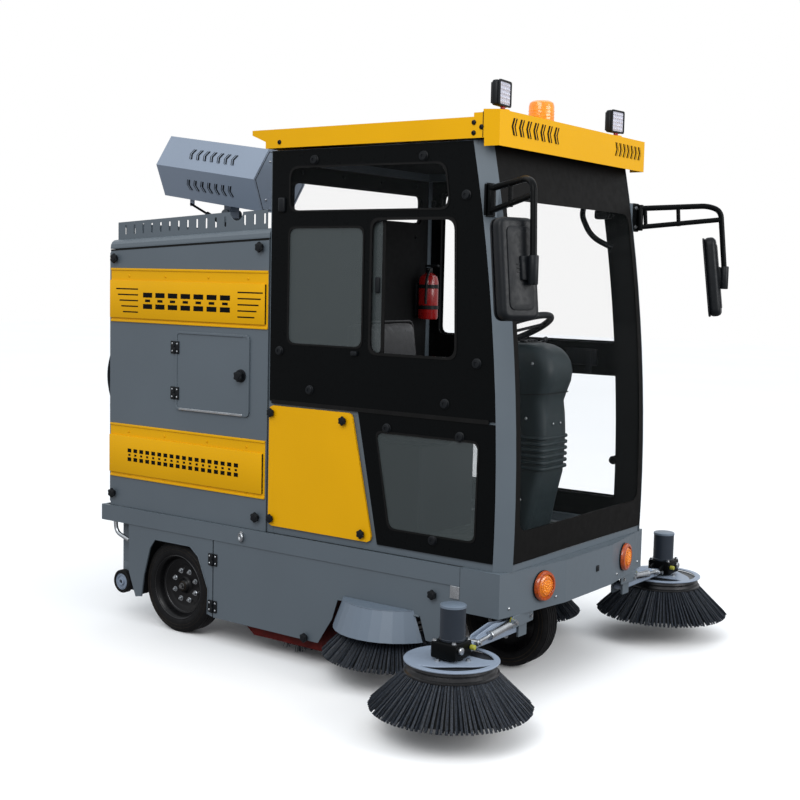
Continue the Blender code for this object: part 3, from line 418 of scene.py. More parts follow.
def on_side(side, x):
    """Plate coordinates (y, z, outwards) on a plane parallel to the machine's side."""
    return axes((0, 1, 0), (0, 0, 1), (side, 0, 0), (side * x, CORNER_Y, 0))


def on_front(y, facing=-1):
    """Plate coordinates (x, z, forwards), or backwards where facing is 1."""
    return axes((1, 0, 0), (0, 0, 1), (0, facing, 0), (0, y + CORNER_Y, 0))


def upright(x, y, z):
    return Matrix.Translation(at(x, y, z))


def along(start, direction):
    """Stands a shape's z axis along a direction, its origin at a point."""
    turn = Vector((0, 0, 1)).rotation_difference(Vector(direction)).to_matrix().to_4x4()
    return Matrix.Translation(start) @ turn


def shift(u, v, w=0.0):
    return Matrix.Translation((u, v, w))


def mirrored(side):
    """Turns a shape made for the left side into the one for this side."""
    return Matrix.Diagonal((side, 1, 1, 1))


class Piece:
    """A piece of the machine, put together from parts, each with its own finish."""

    def __init__(self, name, body, slot):
        self.name, self.body, self.slot = name, body, slot
        self.bm = bmesh.new()
        self.finishes = []

    def add(self, part, place, finish, smooth=True):
        """Moves a part to its place and joins it on."""
        bmesh.ops.transform(part, matrix=place, verts=part.verts)
        bmesh.ops.remove_doubles(part, verts=part.verts, dist=1e-6)
        bmesh.ops.recalc_face_normals(part, faces=part.faces)
        if finish not in self.finishes:
            self.finishes.append(finish)
        for face in part.faces:
            face.material_index = self.finishes.index(finish)
            face.smooth = smooth
        mesh = bpy.data.meshes.new("part")
        part.to_mesh(mesh)
        part.free()
        self.bm.from_mesh(mesh)
        bpy.data.meshes.remove(mesh)
        return self

    def done(self, sharp=38, replaces=()):
        mesh = bpy.data.meshes.new(self.name)
        self.bm.to_mesh(mesh)
        self.bm.free()
        for finish in self.finishes:
            mesh.materials.append(finish)
        mesh.set_sharp_from_angle(angle=radians(sharp))
        obj = bpy.data.objects.new(self.name, mesh)
        bpy.context.scene.collection.objects.link(obj)
        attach(obj, self.body)
        if replaces:
            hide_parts(*replaces)
        return obj


def bolt(radius):
    """Flange bolt: washer face and hexagon head."""
    bm = spun([(0, 0), (1.9 * radius, 0), (1.9 * radius, 0.3 * radius), (0, 0.3 * radius)], 20)
    made = bmesh.ops.create_cone(
        bm, cap_ends=True, segments=6, radius1=1.45 * radius, radius2=1.35 * radius, depth=1.3 * radius
    )["verts"]
    bmesh.ops.translate(bm, vec=(0, 0, 0.9 * radius), verts=made)
    return bm


def dome_screw(radius):
    """Button-head screw with a hexagon socket pressed into its crown."""
    crown = [(0, 0), (radius, 0), (radius, 0.15 * radius), (0.92 * radius, 0.42 * radius)]
    crown += [(0.70 * radius, 0.66 * radius), (0.45 * radius, 0.74 * radius)]
    return spun([*crown, (0.40 * radius, 0.35 * radius), (0, 0.35 * radius)], 18)


def hand_knob(radius, stand, lobes=6):
    """Moulded star knob on a collar, with a shallow finger dish."""
    rim = []
    for i in range(72):
        angle = tau * i / 72
        reach = radius * (1.0 - 0.10 * cos(lobes * angle))
        rim.append((reach * cos(angle), reach * sin(angle)))
    bm = sheet([rim], 0.55 * stand)
    soften(bm, 0.16 * stand, 2, 1.0)
    bmesh.ops.translate(bm, vec=(0, 0, 0.45 * stand), verts=bm.verts)
    join(bm, drum(0.6 * radius, 0, 0.5 * stand, 0, 24))
    cap = [(0, 0.99), (0.62, 0.99), (0.55, 1.10), (0, 1.12)]
    return join(bm, spun([(radius * r, stand * h) for r, h in cap], 24))


def join(bm, other):
    """Adds another shape's faces to this one."""
    mesh = bpy.data.meshes.new("join")
    other.to_mesh(mesh)
    other.free()
    bm.from_mesh(mesh)
    bpy.data.meshes.remove(mesh)
    return bm


# ---- camera, floor and light --------------------------------------------------------------
def camera():
    """Looks down a little from the front right, tipped slightly."""
    ahead = Vector((sin(VIEW_YAW) * cos(VIEW_PITCH), cos(VIEW_YAW) * cos(VIEW_PITCH), -sin(VIEW_PITCH)))
    level = Vector((cos(VIEW_YAW), -sin(VIEW_YAW), 0))
    up = level.cross(ahead)
    across = cos(VIEW_ROLL) * level + sin(VIEW_ROLL) * up
    over = cos(VIEW_ROLL) * up - sin(VIEW_ROLL) * level
    data = bpy.data.cameras.new("camera")
    data.sensor_width = 36
    data.lens = LENS
    view = bpy.data.objects.new("camera", data)
    view.matrix_world = axes(across, over, -ahead, at(*EYE))
    bpy.context.scene.collection.objects.link(view)
    bpy.context.scene.camera = view


def softbox(name, place, target, size, power):
    """A rectangular area light aimed at a point."""
    light = bpy.data.lights.new(name, "AREA")
    light.shape = "RECTANGLE"
    light.size, light.size_y = size
    light.energy = power
    obj = bpy.data.objects.new(name, light)
    aim = Vector(target) - Vector(place)
    obj.matrix_world = Matrix.Translation(place) @ aim.to_track_quat("-Z", "Y").to_matrix().to_4x4()
    bpy.context.scene.collection.objects.link(obj)


def sky():
    """White behind the machine; for its surfaces, a bright sky overhead and duller sides."""
    world = bpy.data.worlds.new("studio")
    bpy.context.scene.world = world
    world.use_nodes = True
    nodes, links = world.node_tree.nodes, world.node_tree.links
    backdrop = nodes["Background"]
    backdrop.inputs["Color"].default_value = (1, 1, 1, 1)
    backdrop.inputs["Strength"].default_value = 1.0
    height = nodes.new("ShaderNodeSeparateXYZ")
    links.new(nodes.new("ShaderNodeTexCoord").outputs["Generated"], height.inputs["Vector"])
    place = nodes.new("ShaderNodeMath")
    place.operation = "MULTIPLY_ADD"
    place.inputs[1].default_value = 0.75
    place.inputs[2].default_value = 0.25
    links.new(height.outputs["Z"], place.inputs[0])
    ramp = nodes.new("ShaderNodeValToRGB")
    ramp.color_ramp.elements.new(0.25)
    shades = ((0.0, GROUND_LIGHT), (0.25, SIDE_LIGHT), (0.82, TOP_LIGHT))
    for stop, (where, colour) in zip(ramp.color_ramp.elements, shades):
        stop.position = where
        stop.color = colour
    links.new(place.outputs["Value"], ramp.inputs["Fac"])
    light = nodes.new("ShaderNodeBackground")
    light.inputs["Strength"].default_value = SKY_STRENGTH
    links.new(ramp.outputs["Color"], light.inputs["Color"])
    mix = nodes.new("ShaderNodeMixShader")
    links.new(nodes.new("ShaderNodeLightPath").outputs["Is Camera Ray"], mix.inputs["Fac"])
    links.new(light.outputs["Background"], mix.inputs[1])
    links.new(backdrop.outputs["Background"], mix.inputs[2])
    links.new(mix.outputs["Shader"], nodes["World Output"].inputs["Surface"])


def floor():
    """Pale floor that takes shadows and throws no light back."""
    bm = bmesh.new()
    bmesh.ops.create_grid(bm, x_segments=1, y_segments=1, size=30)
    mesh = bpy.data.meshes.new("floor")
    bm.to_mesh(mesh)
    bm.free()
    s = Surface("pale_floor", (0.90, 0.90, 0.90), 0.9)
    s.set("Specular IOR Level", 0.1)
    s.blend(s.noise(0.6), 0.3, 0.7, ((0.89, 0.89, 0.89), (0.91, 0.91, 0.91)))
    mesh.materials.append(s.material)
    obj = bpy.data.objects.new("floor", mesh)
    obj.location.z = CAD_BOX[0][2] - 0.001
    obj.visible_diffuse = False
    obj.visible_glossy = False
    bpy.context.scene.collection.objects.link(obj)


def studio():
    sky()
    bpy.context.scene.view_settings.view_transform = "Standard"
    softbox("key", (-4.5, -1.5, 4.2), (0, 0, 1.0), (3, 3), 130)
    softbox("front", (0.5, -5.5, 2.6), (0, -0.6, 1.0), (3.0, 2.5), 150)
    floor()


# ---- finishes of the frame's own nodes ----------------------------------------------------
def paint_nodes():
    """Gives the nodes that show as they are their finishes."""
    plain = {
        grey_paint: "chassis_frame front_bumper cab_frame rear_body hood hatch_right rear_door "
        "fender_right fender_left skirt_door_right skirt_door_left blower_pedestal",
        pale_paint: "blower_housing",
        # The middle brush covers take the darker copy of the light grey paint, as painted shade.
        light_grey_with_painted_shade: "mid_cover_right mid_cover_left",
        yellow_paint: "roof cab_panel_right",
        hard_plastic: "steer_fork rear_axle accelerator_pedal seat_base",
        black_paint: "blower_strut_cylinder blower_strut_rod",
        drawn_steel: "roller_arms dust_bin",
        flap_rubber: "dirt_flaps",
    }
    for finish, names in plain.items():
        for name in names.split():
            for slot in NODES[name].material_slots:
                slot.material = finish


# ---- cab glazing --------------------------------------------------------------------------
def side_outline(low, high, rear_low, rear_high, gap, count=10):
    """Outline (y, z) of side glazing, from its leaning front edge back to a rear edge."""
    heights = [low + (high - low) * i / (count - 1) for i in range(count)]
    front = [(screen_line(z) + 0.057 + gap, z) for z in heights]
    return front + [(rear_high, high), (rear_low, low)]


def clamp(radius=0.0165):
    """Black glass clamp: a stepped button with a screw in it."""
    return spun(
        [
            (0, 0), (1.15 * radius, 0), (1.15 * radius, 0.0022), (radius, 0.0035), (radius, 0.0085),
            (0.86 * radius, 0.011), (0.42 * radius, 0.0115), (0.38 * radius, 0.0085), (0, 0.0085),
        ],
        24,
    )


def gasket(loop, inset):
    """A loop and the same loop drawn in towards its middle, for a narrow seal."""
    middle = sum((Vector(p) for p in loop), Vector((0, 0))) / len(loop)
    inner = []
    for p in loop:
        away = Vector(p) - middle
        inner.append(tuple(middle + away - Vector((inset * sign(away.x), inset * sign(away.y)))))
    return [loop, inner]


def sign(value):
    return (value > 0) - (value < 0)


def pane(piece, loop, place, depth, finish, thick=0.004):
    """Glass in an opening, held by a rubber seal on its outer face."""
    piece.add(sheet([loop], thick), place @ shift(0, 0, depth), finish)
    piece.add(sheet(gasket(loop, 0.007), 0.003), place @ shift(0, 0, depth + thick), seal_rubber)


ROOF_PANE = rounded([(0.262, 1.800), (1.028, 1.800), (1.028, 1.978), (0.285, 1.972)], 0.045)
REAR_PANE = rounded(frame_of(0.650, 1.029, 1.280, 1.745), 0.035)
FRONT_OPENING = rounded([(0.229, 1.270), (0.613, 1.270), (0.613, 1.765), (0.244, 1.765)], 0.040)
LOWER_CLEAR = rounded([(0.118, 0.604), (0.512, 0.604), (0.581, 0.976), (0.112, 0.976)], 0.030)


def clamps(piece, place, spots):
    for y, z in spots:
        piece.add(clamp(), place @ shift(y, z, GLASS), hard_plastic)


def right_glazing():
    """Upper side panel with its three openings, and the window below the belt."""
    place = on_side(RIGHT, PANEL_X - GLASS)
    upper = Piece("upper_side_panel", "chassis", "dark_glass")
    outline = side_outline(1.050, 2.040, 1.118, 1.118, 0.001)
    upper.add(sheet([outline, ROOF_PANE, REAR_PANE, FRONT_OPENING], GLASS), place, black_paint)
    pane(upper, ROOF_PANE, place, 0.001, clear_glass)
    pane(upper, REAR_PANE, place, 0.001, tinted_glass)
    upper.add(sheet(gasket(FRONT_OPENING, -0.010), 0.0035), place @ shift(0, 0, 0.0045), seal_rubber)
    clamps(upper, place, [(0.901, 1.999), (0.386, 1.994), (0.196, 1.850), (1.067, 1.253)])
    clamps(upper, place, [(0.133, 1.254), (0.907, 1.107), (0.266, 1.100)])
    upper.add(brick((0.034, 0.058, 0.016), 0.007, 3), place @ shift(1.062, 1.829, 0.010), hard_plastic)
    upper.add(brick((0.030, 0.018, 0.014), 0.004, 2), place @ shift(0.686, 1.262, 0.010), hard_plastic)
    trim = sheet([rounded(frame_of(0.075, 1.106, 1.040, 1.056), 0.006)], 0.004)
    upper.add(trim, on_side(RIGHT, PANEL_X - 0.001), seal_rubber)
    upper.done(replaces=("upper_glass_right",))

    lower = Piece("lower_side_window", "chassis", "dark_glass")
    outline = side_outline(0.540, 1.040, 0.562, 0.666, 0.003)
    lower.add(sheet([outline, LOWER_CLEAR], GLASS), place, black_paint)
    pane(lower, LOWER_CLEAR, place, 0.001, tinted_glass)
    clamps(lower, place, [(0.526, 0.988), (0.197, 0.985), (0.304, 0.592)])
    lower.done(replaces=("lower_glass_right",))


def sliding_window():
    """Framed pane that runs behind the side panel."""
    place = on_side(RIGHT, 0.5395)
    slider = Piece("sliding_pane", "window", "dark_glass")
    outer = rounded(frame_of(0.560, 1.045, 1.255, 1.785), 0.020)
    slider.add(sheet([outer], 0.0045), place, tinted_glass)
    slider.add(sheet(gasket(outer, 0.014), 0.0050), place, seal_rubber)
    slider.add(brick((0.020, 0.060, 0.014), 0.005, 3), place @ shift(0.592, 1.524, 0.006), hard_plastic)
    slider.done(replaces=("window_slider_right",))


def windscreen():
    """A bowed sheet of glass with a printed black border."""
    low, high, half = 0.540, 2.028, 0.512
    outer = rounded(frame_of(-half, half, low, high), 0.010)
    clear = rounded([(-0.478, 0.653), (0.478, 0.653), (0.484, 1.838), (-0.484, 1.838)], 0.050)
    screen = Piece("windscreen_glass", "chassis", "dark_glass")
    bands = 24
    for loops, depth, finish in (([outer, clear], GLASS, screen_print), ([clear], 0.0045, clear_glass)):
        bm = sheet(loops, depth)
        for step in range(1, bands):
            z = low + (high - low) * step / bands
            cut = bm.verts[:] + bm.edges[:] + bm.faces[:]
            bmesh.ops.bisect_plane(bm, geom=cut, plane_co=(0, z, 0), plane_no=(0, 1, 0))
        for vert in bm.verts:
            vert.co.z += screen_line(vert.co.y)
        screen.add(bm, axes((1, 0, 0), (0, 0, 1), (0, 1, 0), (0, CORNER_Y + 0.0002, 0)), finish)
    screen.done(replaces=("windscreen",))


def door():
    """Left door: a black frame round three panes, latch gear inside, hinges at the rear."""
    outline = side_outline(0.518, 2.040, 1.118, 1.118, 0.003)
    upper = rounded(side_outline(1.300, 1.950, 1.045, 1.045, 0.030, 5), 0.030, 3)
    lower = rounded(side_outline(0.640, 1.165, 0.560, 0.640, 0.045, 4), 0.030, 3)
    rear = rounded([(0.680, 0.640), (1.045, 0.640), (1.045, 1.165), (0.740, 1.165)], 0.03)
    place = on_side(LEFT, PANEL_X - 0.030)
    leaf = Piece("cab_door_leaf", "door", "grey_paint")
    leaf.add(sheet([outline, upper, lower, rear], 0.026, 0.002), place, black_paint)
    for loop in (upper, lower, rear):
        pane(leaf, loop, place, 0.018, clear_glass)
    leaf.add(brick((0.150, 0.070, 0.020), 0.006, 2), place @ shift(0.290, 1.235, -0.006), hard_plastic)
    leaf.add(brick((0.030, 0.100, 0.012), 0.005, 2), place @ shift(0.250, 1.215, -0.018), hard_plastic)
    leaf.add(brick((0.130, 0.034, 0.006), 0.003, 2), place @ shift(0.250, 1.235, 0.028), zinc)
    pull = [(0.200, 1.235, 0.028), (0.205, 1.235, 0.052), (0.300, 1.235, 0.052), (0.305, 1.235, 0.028)]
    leaf.add(pipe(pull, 0.007, 12, 0.015), place, hard_plastic)
    for y, z in ((0.216, 1.84), (0.125, 0.80), (1.09, 1.9), (1.09, 0.60)):
        leaf.add(clamp(0.016), place @ shift(y, z, 0.026), hard_plastic)
        leaf.add(clamp(0.016), place @ Matrix.Diagonal((1, 1, -1, 1)) @ shift(y, z), hard_plastic)
    for z in (0.72, 1.28, 1.86):
        leaf.add(drum(0.009, -0.045, 0.045, 0.002, 16), upright(0.562, 1.122, z), hard_plastic)
        leaf.add(brick((0.006, 0.060, 0.080), 0.002), upright(0.559, 1.088, z), hard_plastic)
    leaf.done(replaces=("cab_door",))


def rear_wall():
    """Black wall behind the seat with a shallow window under the roof."""
    low, high = 1.0975, 1.1225
    outer = frame_of(-0.494, 0.494, 0.502, 1.998)
    window = rounded(frame_of(-0.445, 0.445, 1.800, 1.933), 0.035)
    wall = Piece("cab_rear_wall", "chassis", "grey_paint")
    place = on_front(high)
    wall.add(sheet([outer, window], high - low), place, matt_black)
    pane(wall, window, place, 0.010, clear_glass)
    for x in (-0.40, -0.135, 0.135, 0.40):
        for z in (0.62, 1.2, 1.74, 1.97):
            wall.add(dome_screw(0.007), place @ shift(x, z, high - low), hard_plastic)
    wall.done(replaces=("rear_wall",))


def cab_trim():
    """Headlining, ribbed floor mat and the yellow side panel's knobs."""
    lining = Piece("headlining", "chassis", "black_plastic")
    lining.add(brick((0.980, 0.905, 0.008), 0.003), upright(0, 0.642, 2.036), matt_black)
    lining.add(brick((1.000, 0.050, 0.060), 0.012), upright(0, 0.156, 1.995), matt_black)
    lining.done()
    mat = Piece("floor_mat", "chassis", "rubber")
    mat.add(brick((0.960, 0.940, 0.006), 0.002), upright(0, 0.600, 0.5035), mat_rubber)
    for i in range(40):
        rib = brick((0.008, 0.900, 0.004), 0.001, 1)
        mat.add(rib, upright(-0.46 + i * 0.0236, 0.600, 0.508), mat_rubber)
    mat.done()
    knobs = Piece("side_panel_knobs", "chassis", "black_plastic")
    place = on_side(RIGHT, PANEL_X + 0.0035)
    for y, z in ((1.100, 1.003), (0.731, 1.000), (1.098, 0.573), (0.632, 0.572)):
        knobs.add(hand_knob(0.017, 0.016), place @ shift(y, z), hard_plastic)
    knobs.done()
    pillar_linings()
    grab_bar()


def pillar_linings():
    """Black plates that follow the bow of the front pillars, inside."""
    linings = Piece("pillar_linings", "chassis", "black_plastic")
    heights = [0.560 + 1.400 * i / 14 for i in range(15)]
    back = [(screen_line(z) + 0.114, z) for z in reversed(heights)]
    for side, _ in SIDES:
        front = [(screen_line(z) + 0.0085, z) for z in heights]
        linings.add(sheet([front + back], 0.003), on_side(side, 0.4915), matt_black)
    shut = [(screen_line(z) + 0.111, z) for z in heights]
    linings.add(sheet([shut + back], 0.030), on_side(LEFT, 0.4915), matt_black)
    linings.done()


def grab_bar():
    grip = Piece("entry_grab_bar", "chassis", "black_plastic")
    path = [at(0.497, 0.290, 1.880), at(0.470, 0.286, 1.835)]
    path += [at(0.470, 0.240, 1.745), at(0.494, 0.150, 1.700)]
    grip.add(pipe(path, 0.012, 16, 0.06), Matrix(), hard_plastic)
    grip.add(brick((0.040, 0.070, 0.040), 0.010, 3), upright(0.480, 0.190, 1.838), hard_plastic)
    grip.done()


# ---- roof ---------------------------------------------------------------------------------
def chevron(wide, tall, bar):
    """A pressed arrow-shaped vent, its point towards -u."""
    point = [(-wide, 0), (0, tall), (bar, tall), (bar - wide, 0), (bar, -tall), (0, -tall)]
    return sheet([point], 0.0022)


def vent_row(piece, place, lip, pitch, wide, tall, bar, flip=1):
    """Seven pressed arrow vents in a row: each is two black chevrons of painted shadow, where the slits are,
    with a raised lip between.
    """
    turn = Matrix.Diagonal((flip, 1, 1, 1))
    for i in range(7):
        spot = place @ shift(flip * (i - 3) * pitch, 0) @ turn
        # Painted shadow: the black chevrons stand in for the shade inside the slits.
        piece.add(chevron(wide, tall, bar), spot, matt_black)
        piece.add(chevron(wide, tall, 0.7 * bar), spot @ shift(1.1 * bar, 0, 0.0010), lip)
        piece.add(chevron(wide, tall, bar), spot @ shift(2.2 * bar, 0), matt_black)


def roof():
    """Vents, screws and seams of the roof, and the beacon on it."""
    vents = Piece("roof_vents", "chassis", "yellow_paint")
    face = on_front(0.058)
    vent_row(vents, face @ shift(-0.330, 2.090), yellow_paint, 0.050, 0.013, 0.030, 0.0075)
    vent_row(vents, face @ shift(0.424, 2.088), yellow_paint, 0.034, 0.011, 0.026, 0.0050, -1)
    for side, _ in SIDES:
        place = on_side(side, 0.572)
        for y, z in ((1.070, 2.072), (0.164, 2.064), (0.132, 2.083), (0.164, 2.100)):
            vents.add(dome_screw(0.009), place @ shift(y, z), hard_plastic)
        vents.add(sheet([frame_of(0.1245, 0.1275, 2.048, 2.136)], 0.0008), place, matt_black)
    vents.done()
    beacon = Piece("rotating_beacon", "chassis", "black_plastic")
    foot = [(0, 0), (0.056, 0), (0.056, 0.010), (0.052, 0.016), (0.050, 0.030), (0, 0.030)]
    dome = [(0, 0.028), (0.048, 0.028), (0.050, 0.034), (0.0495, 0.106)]
    dome += [(0.046, 0.119), (0.036, 0.126), (0, 0.128)]
    top = upright(0, 0.226, 2.1215)
    beacon.add(spun(foot), top, hard_plastic)
    beacon.add(spun(dome), top, beacon_amber)
    for i in range(5):
        ring = spun([(0.0494, 0), (0.0508, 0.002), (0.0494, 0.004)], 40)
        beacon.add(ring, top @ shift(0, 0, 0.038 + 0.012 * i), beacon_amber)
    beacon.done()


def work_lamp(side, word):
    """Square lamp: ribbed housing, bezel and a five by five field of emitters."""
    lamp = Piece(f"work_lamp_{word}", f"lamp_{word}", "black_plastic")
    turn = Matrix.Rotation(side * radians(-5), 4, "Z")
    place = upright(side * 0.442, 0.118, 2.182 + 0.0315) @ turn @ shift(0, 0.014)
    lamp.add(brick((0.094, 0.028, 0.090), 0.009, 3), place @ shift(0, 0.006), hard_plastic)
    for i in range(9):
        fin = brick((0.0028, 0.010, 0.074), 0.001, 1)
        lamp.add(fin, place @ shift(-0.036 + 0.009 * i, 0.0215), hard_plastic)
    rim = [rounded(frame_of(-0.048, 0.048, -0.046, 0.046), 0.010)]
    rim.append(rounded(frame_of(-0.041, 0.041, -0.039, 0.039), 0.006))
    front = place @ axes((1, 0, 0), (0, 0, 1), (0, -1, 0), (0, -0.008, 0))
    lamp.add(sheet(rim, 0.007, 0.001), front, hard_plastic)
    lamp.add(sheet([rounded(frame_of(-0.041, 0.041, -0.039, 0.039), 0.006)], 0.003), front, lamp_glass)
    for i in range(25):
        u, v = -0.032 + 0.016 * (i % 5), -0.030 + 0.015 * (i // 5)
        bead = spun([(0, 0.003), (0.0062, 0.003), (0.0050, 0.0056), (0.0025, 0.0066), (0, 0.0068)], 12)
        lamp.add(bead, front @ shift(u, v), lamp_glass)
    lamp.add(brick((0.020, 0.012, 0.016), 0.003, 2), place @ shift(0, -0.004, -0.050), red_enamel)
    lamp.done(replaces=(f"work_light_{word}",))
    stem = Piece(f"lamp_stem_{word}", "chassis", "steel")
    foot = upright(side * 0.442, 0.1155, 2.140)
    stem.add(drum(0.010, 0, 0.0140, 0.002, 16), foot, red_enamel)
    stem.add(drum(0.016, 0, 0.0040, 0.001, 20), foot, zinc)
    stem.done()


# ---- mirrors ------------------------------------------------------------------------------
def mirror(side, word):
    """Mirror on a braced tube: bracket, tube that folds, and head that turns on the tube."""
    flip = mirrored(side)
    bracket = Piece(f"mirror_bracket_{word}", "chassis", "black_plastic")
    plate = sheet([rounded(frame_of(0.540, 0.604, 1.770, 1.888), 0.012)], 0.009, 0.001)
    bracket.add(plate, flip @ on_front(0.094), black_paint)
    for z in (1.79, 1.868):
        bracket.add(bolt(0.0045), flip @ on_front(0.085) @ shift(0.570, z), zinc)
    bracket.done()

    arm = Piece(f"mirror_tube_{word}", f"mirror_tube_{word}", "black_plastic")
    upper = [at(0.590, 0.073, 1.868), at(0.745, -0.160, 1.884)]
    upper += [at(0.776, -0.205, 1.865), at(0.801, -0.230, 1.540)]
    arm.add(pipe(upper, 0.0115, 18, 0.05), flip, black_paint)
    arm.add(pipe([at(0.590, 0.073, 1.790), at(0.7755, -0.2040, 1.828)], 0.0105, 16), flip, black_paint)
    for x, y in ((0.676, -0.057), (0.600, 0.058)):
        arm.add(pipe([at(x, y, 1.876), at(x + 0.004, y - 0.004, 1.797)], 0.0085, 14), flip, black_paint)
    arm.add(drum(0.012, -0.054, 0.054, 0.003, 20), flip @ upright(0.590, 0.073, 1.829), black_paint)
    arm.add(drum(0.0165, -0.050, 0.046, 0.004, 24), flip @ upright(0.797, -0.226, 1.588), hard_plastic)
    arm.done(replaces=(f"mirror_arm_{word}",))

    head = Piece(f"mirror_shell_{word}", f"mirror_{word}", "black_plastic")
    turn = Matrix.Rotation(radians(20), 4, "Z") @ Matrix.Rotation(radians(-7), 4, "X")
    place = flip @ Matrix.Translation(at(0.812, -0.168, 1.588)) @ turn
    outline = rounded(frame_of(-0.077, 0.077, -0.167, 0.167), 0.034, 7)
    shell = sheet([outline], 0.046)
    soften(shell, 0.017, 5, 1.0)
    back = place @ axes((1, 0, 0), (0, 0, 1), (0, -1, 0), (0, 0.022, 0))
    head.add(shell, back, hard_plastic)
    pad = sheet([rounded(frame_of(-0.050, 0.050, -0.136, 0.136), 0.024, 6)], 0.004, 0.0018, 2)
    head.add(pad, back @ shift(0, 0, 0.0455), hard_plastic)
    for v in (-0.012, 0.0, 0.012):
        head.add(brick((0.034, 0.005, 0.003), 0.001, 1), back @ shift(0, v, 0.050), hard_plastic)
    head.add(brick((0.046, 0.080, 0.014), 0.005, 2), back @ shift(-0.020, 0, 0.052), hard_plastic)
    inner = [tuple(0.90 * c for c in p) for p in outline]
    rim = sheet([outline, inner], 0.006, 0.0015)
    glass_side = back @ Matrix.Diagonal((1, 1, -1, 1))
    head.add(rim, glass_side, hard_plastic)
    head.add(sheet([inner], 0.002), glass_side, mirror_silver)
    head.done(replaces=(f"mirror_head_{word}",))


# ---- driver's place -----------------------------------------------------------------------
def steering_wheel():
    """Round rim, three spokes, a domed hub and a turning knob."""
    wheel = Piece("steering_wheel_rim", "steering_wheel_body", "black_plastic")
    place = upright(0, 0.350, 1.343) @ Matrix.Rotation(-radians(25), 4, "X")
    ring = [(0.184 + 0.0135 * cos(a), 0.0135 * sin(a)) for a in [tau * i / 14 for i in range(15)]]
    wheel.add(spun(ring, 60), place, hard_plastic)
    hub = [(0, 0.020), (0.026, 0.019), (0.033, 0.012), (0.037, 0), (0.024, -0.018), (0, -0.020)]
    wheel.add(spun(hub, 32), place, hard_plastic)
    for angle in (90, 210, 330):
        spoke = brick((0.155, 0.026, 0.009), 0.004, 3)
        turn = Matrix.Rotation(radians(angle), 4, "Z")
        wheel.add(spoke, place @ turn @ shift(0.102, 0, 0), hard_plastic)
    grip = drum(0.013, 0.010, 0.050, 0.006, 24)
    wheel.add(grip, place @ Matrix.Rotation(radians(30), 4, "Z") @ shift(0.184, 0), hard_plastic)
    wheel.done(replaces=("steering_wheel",))


# Level sections of the column cover: height, front y, rear y, half width, corner radius.
COLUMN = [
    (0.502, 0.190, 0.350, 0.106, 0.030),
    (0.600, 0.170, 0.350, 0.106, 0.030),
    (0.700, 0.150, 0.350, 0.106, 0.032),
    (0.800, 0.124, 0.345, 0.106, 0.035),
    (0.880, 0.116, 0.322, 0.104, 0.040),
    (0.960, 0.112, 0.322, 0.103, 0.045),
    (1.030, 0.116, 0.326, 0.104, 0.048),
    (1.085, 0.124, 0.340, 0.106, 0.050),
    (1.125, 0.110, 0.362, 0.109, 0.054),
    (1.165, 0.094, 0.376, 0.112, 0.060),
    (1.205, 0.089, 0.384, 0.113, 0.062),
    (1.240, 0.096, 0.385, 0.112, 0.064),
    (1.268, 0.112, 0.381, 0.107, 0.064),
    (1.290, 0.136, 0.370, 0.098, 0.060),
    (1.304, 0.166, 0.352, 0.084, 0.052),
    (1.311, 0.200, 0.325, 0.060, 0.040),
]


def column_cover():
    """A lofted shell: level sections joined from the foot up to the rounded head."""
    bm = bmesh.new()
    below = None
    for z, front, rear, half, corner in COLUMN:
        loop = rounded(frame_of(-half, half, front, rear), corner, 7)
        verts = [bm.verts.new((*p, z)) for p in loop]
        edges = [bm.edges.new(pair) for pair in zip(verts, verts[1:] + verts[:1])]
        if below:
            bmesh.ops.bridge_loops(bm, edges=below + edges)
        below = edges
    bmesh.ops.holes_fill(bm, edges=bm.edges)
    return bm


def console():
    """Column cover with its gaiter, seam, switches and screws."""
    trim = Piece("column_cover", "chassis", "black_plastic")
    trim.add(column_cover(), upright(0, 0, 0), console_plastic)
    for i in range(6):
        fold = sheet([rounded(frame_of(-0.110, 0.110, 0.108, 0.330), 0.038, 7)], 0.014)
        soften(fold, 0.0055, 3, 1.0)
        trim.add(fold, upright(0, 0, 0.818 + 0.024 * i), console_plastic)
    seam = rounded(frame_of(-0.1135, 0.1135, 0.1075, 0.364), 0.054, 7)
    inner = [(0.985 * x, 0.236 + 0.985 * (y - 0.236)) for x, y in seam]
    tipped = upright(0, 0, 1.126) @ Matrix.Rotation(radians(-4), 4, "X")
    trim.add(sheet([seam, inner], 0.003), tipped, seal_rubber)
    dash = upright(0, 0.262, 1.309)
    trim.add(brick((0.110, 0.064, 0.008), 0.003, 2), dash @ shift(0, -0.010, 0.001), hard_plastic)
    for i in range(4):
        key = brick((0.018, 0.028, 0.010), 0.003, 2)
        trim.add(key, dash @ shift(-0.039 + 0.026 * i, -0.012, 0.007), hard_plastic)
    screws = [(0.1105, 0.165, 1.235), (0.1105, 0.330, 1.235), (0.103, 0.190, 1.020)]
    screws += [(0.1055, 0.205, 0.700), (0.1055, 0.310, 0.700)]
    for side, _ in SIDES:
        for x, y, z in screws:
            trim.add(dome_screw(0.006), on_side(side, x) @ shift(y, z), zinc)
    for x in (0.028, -0.028):
        trim.add(dome_screw(0.005), on_front(0.1115) @ shift(x, 1.000), zinc)
    trim.add(pipe([at(0.100, 0.30, 1.285), at(0.180, 0.285, 1.315)], 0.005, 10), Matrix(), hard_plastic)
    tip = along(at(0.175, 0.286, 1.312), (0.9, -0.15, 0.3))
    trim.add(drum(0.010, 0, 0.026, 0.004, 20), tip, hard_plastic)
    trim.done(replaces=("steering_console",))


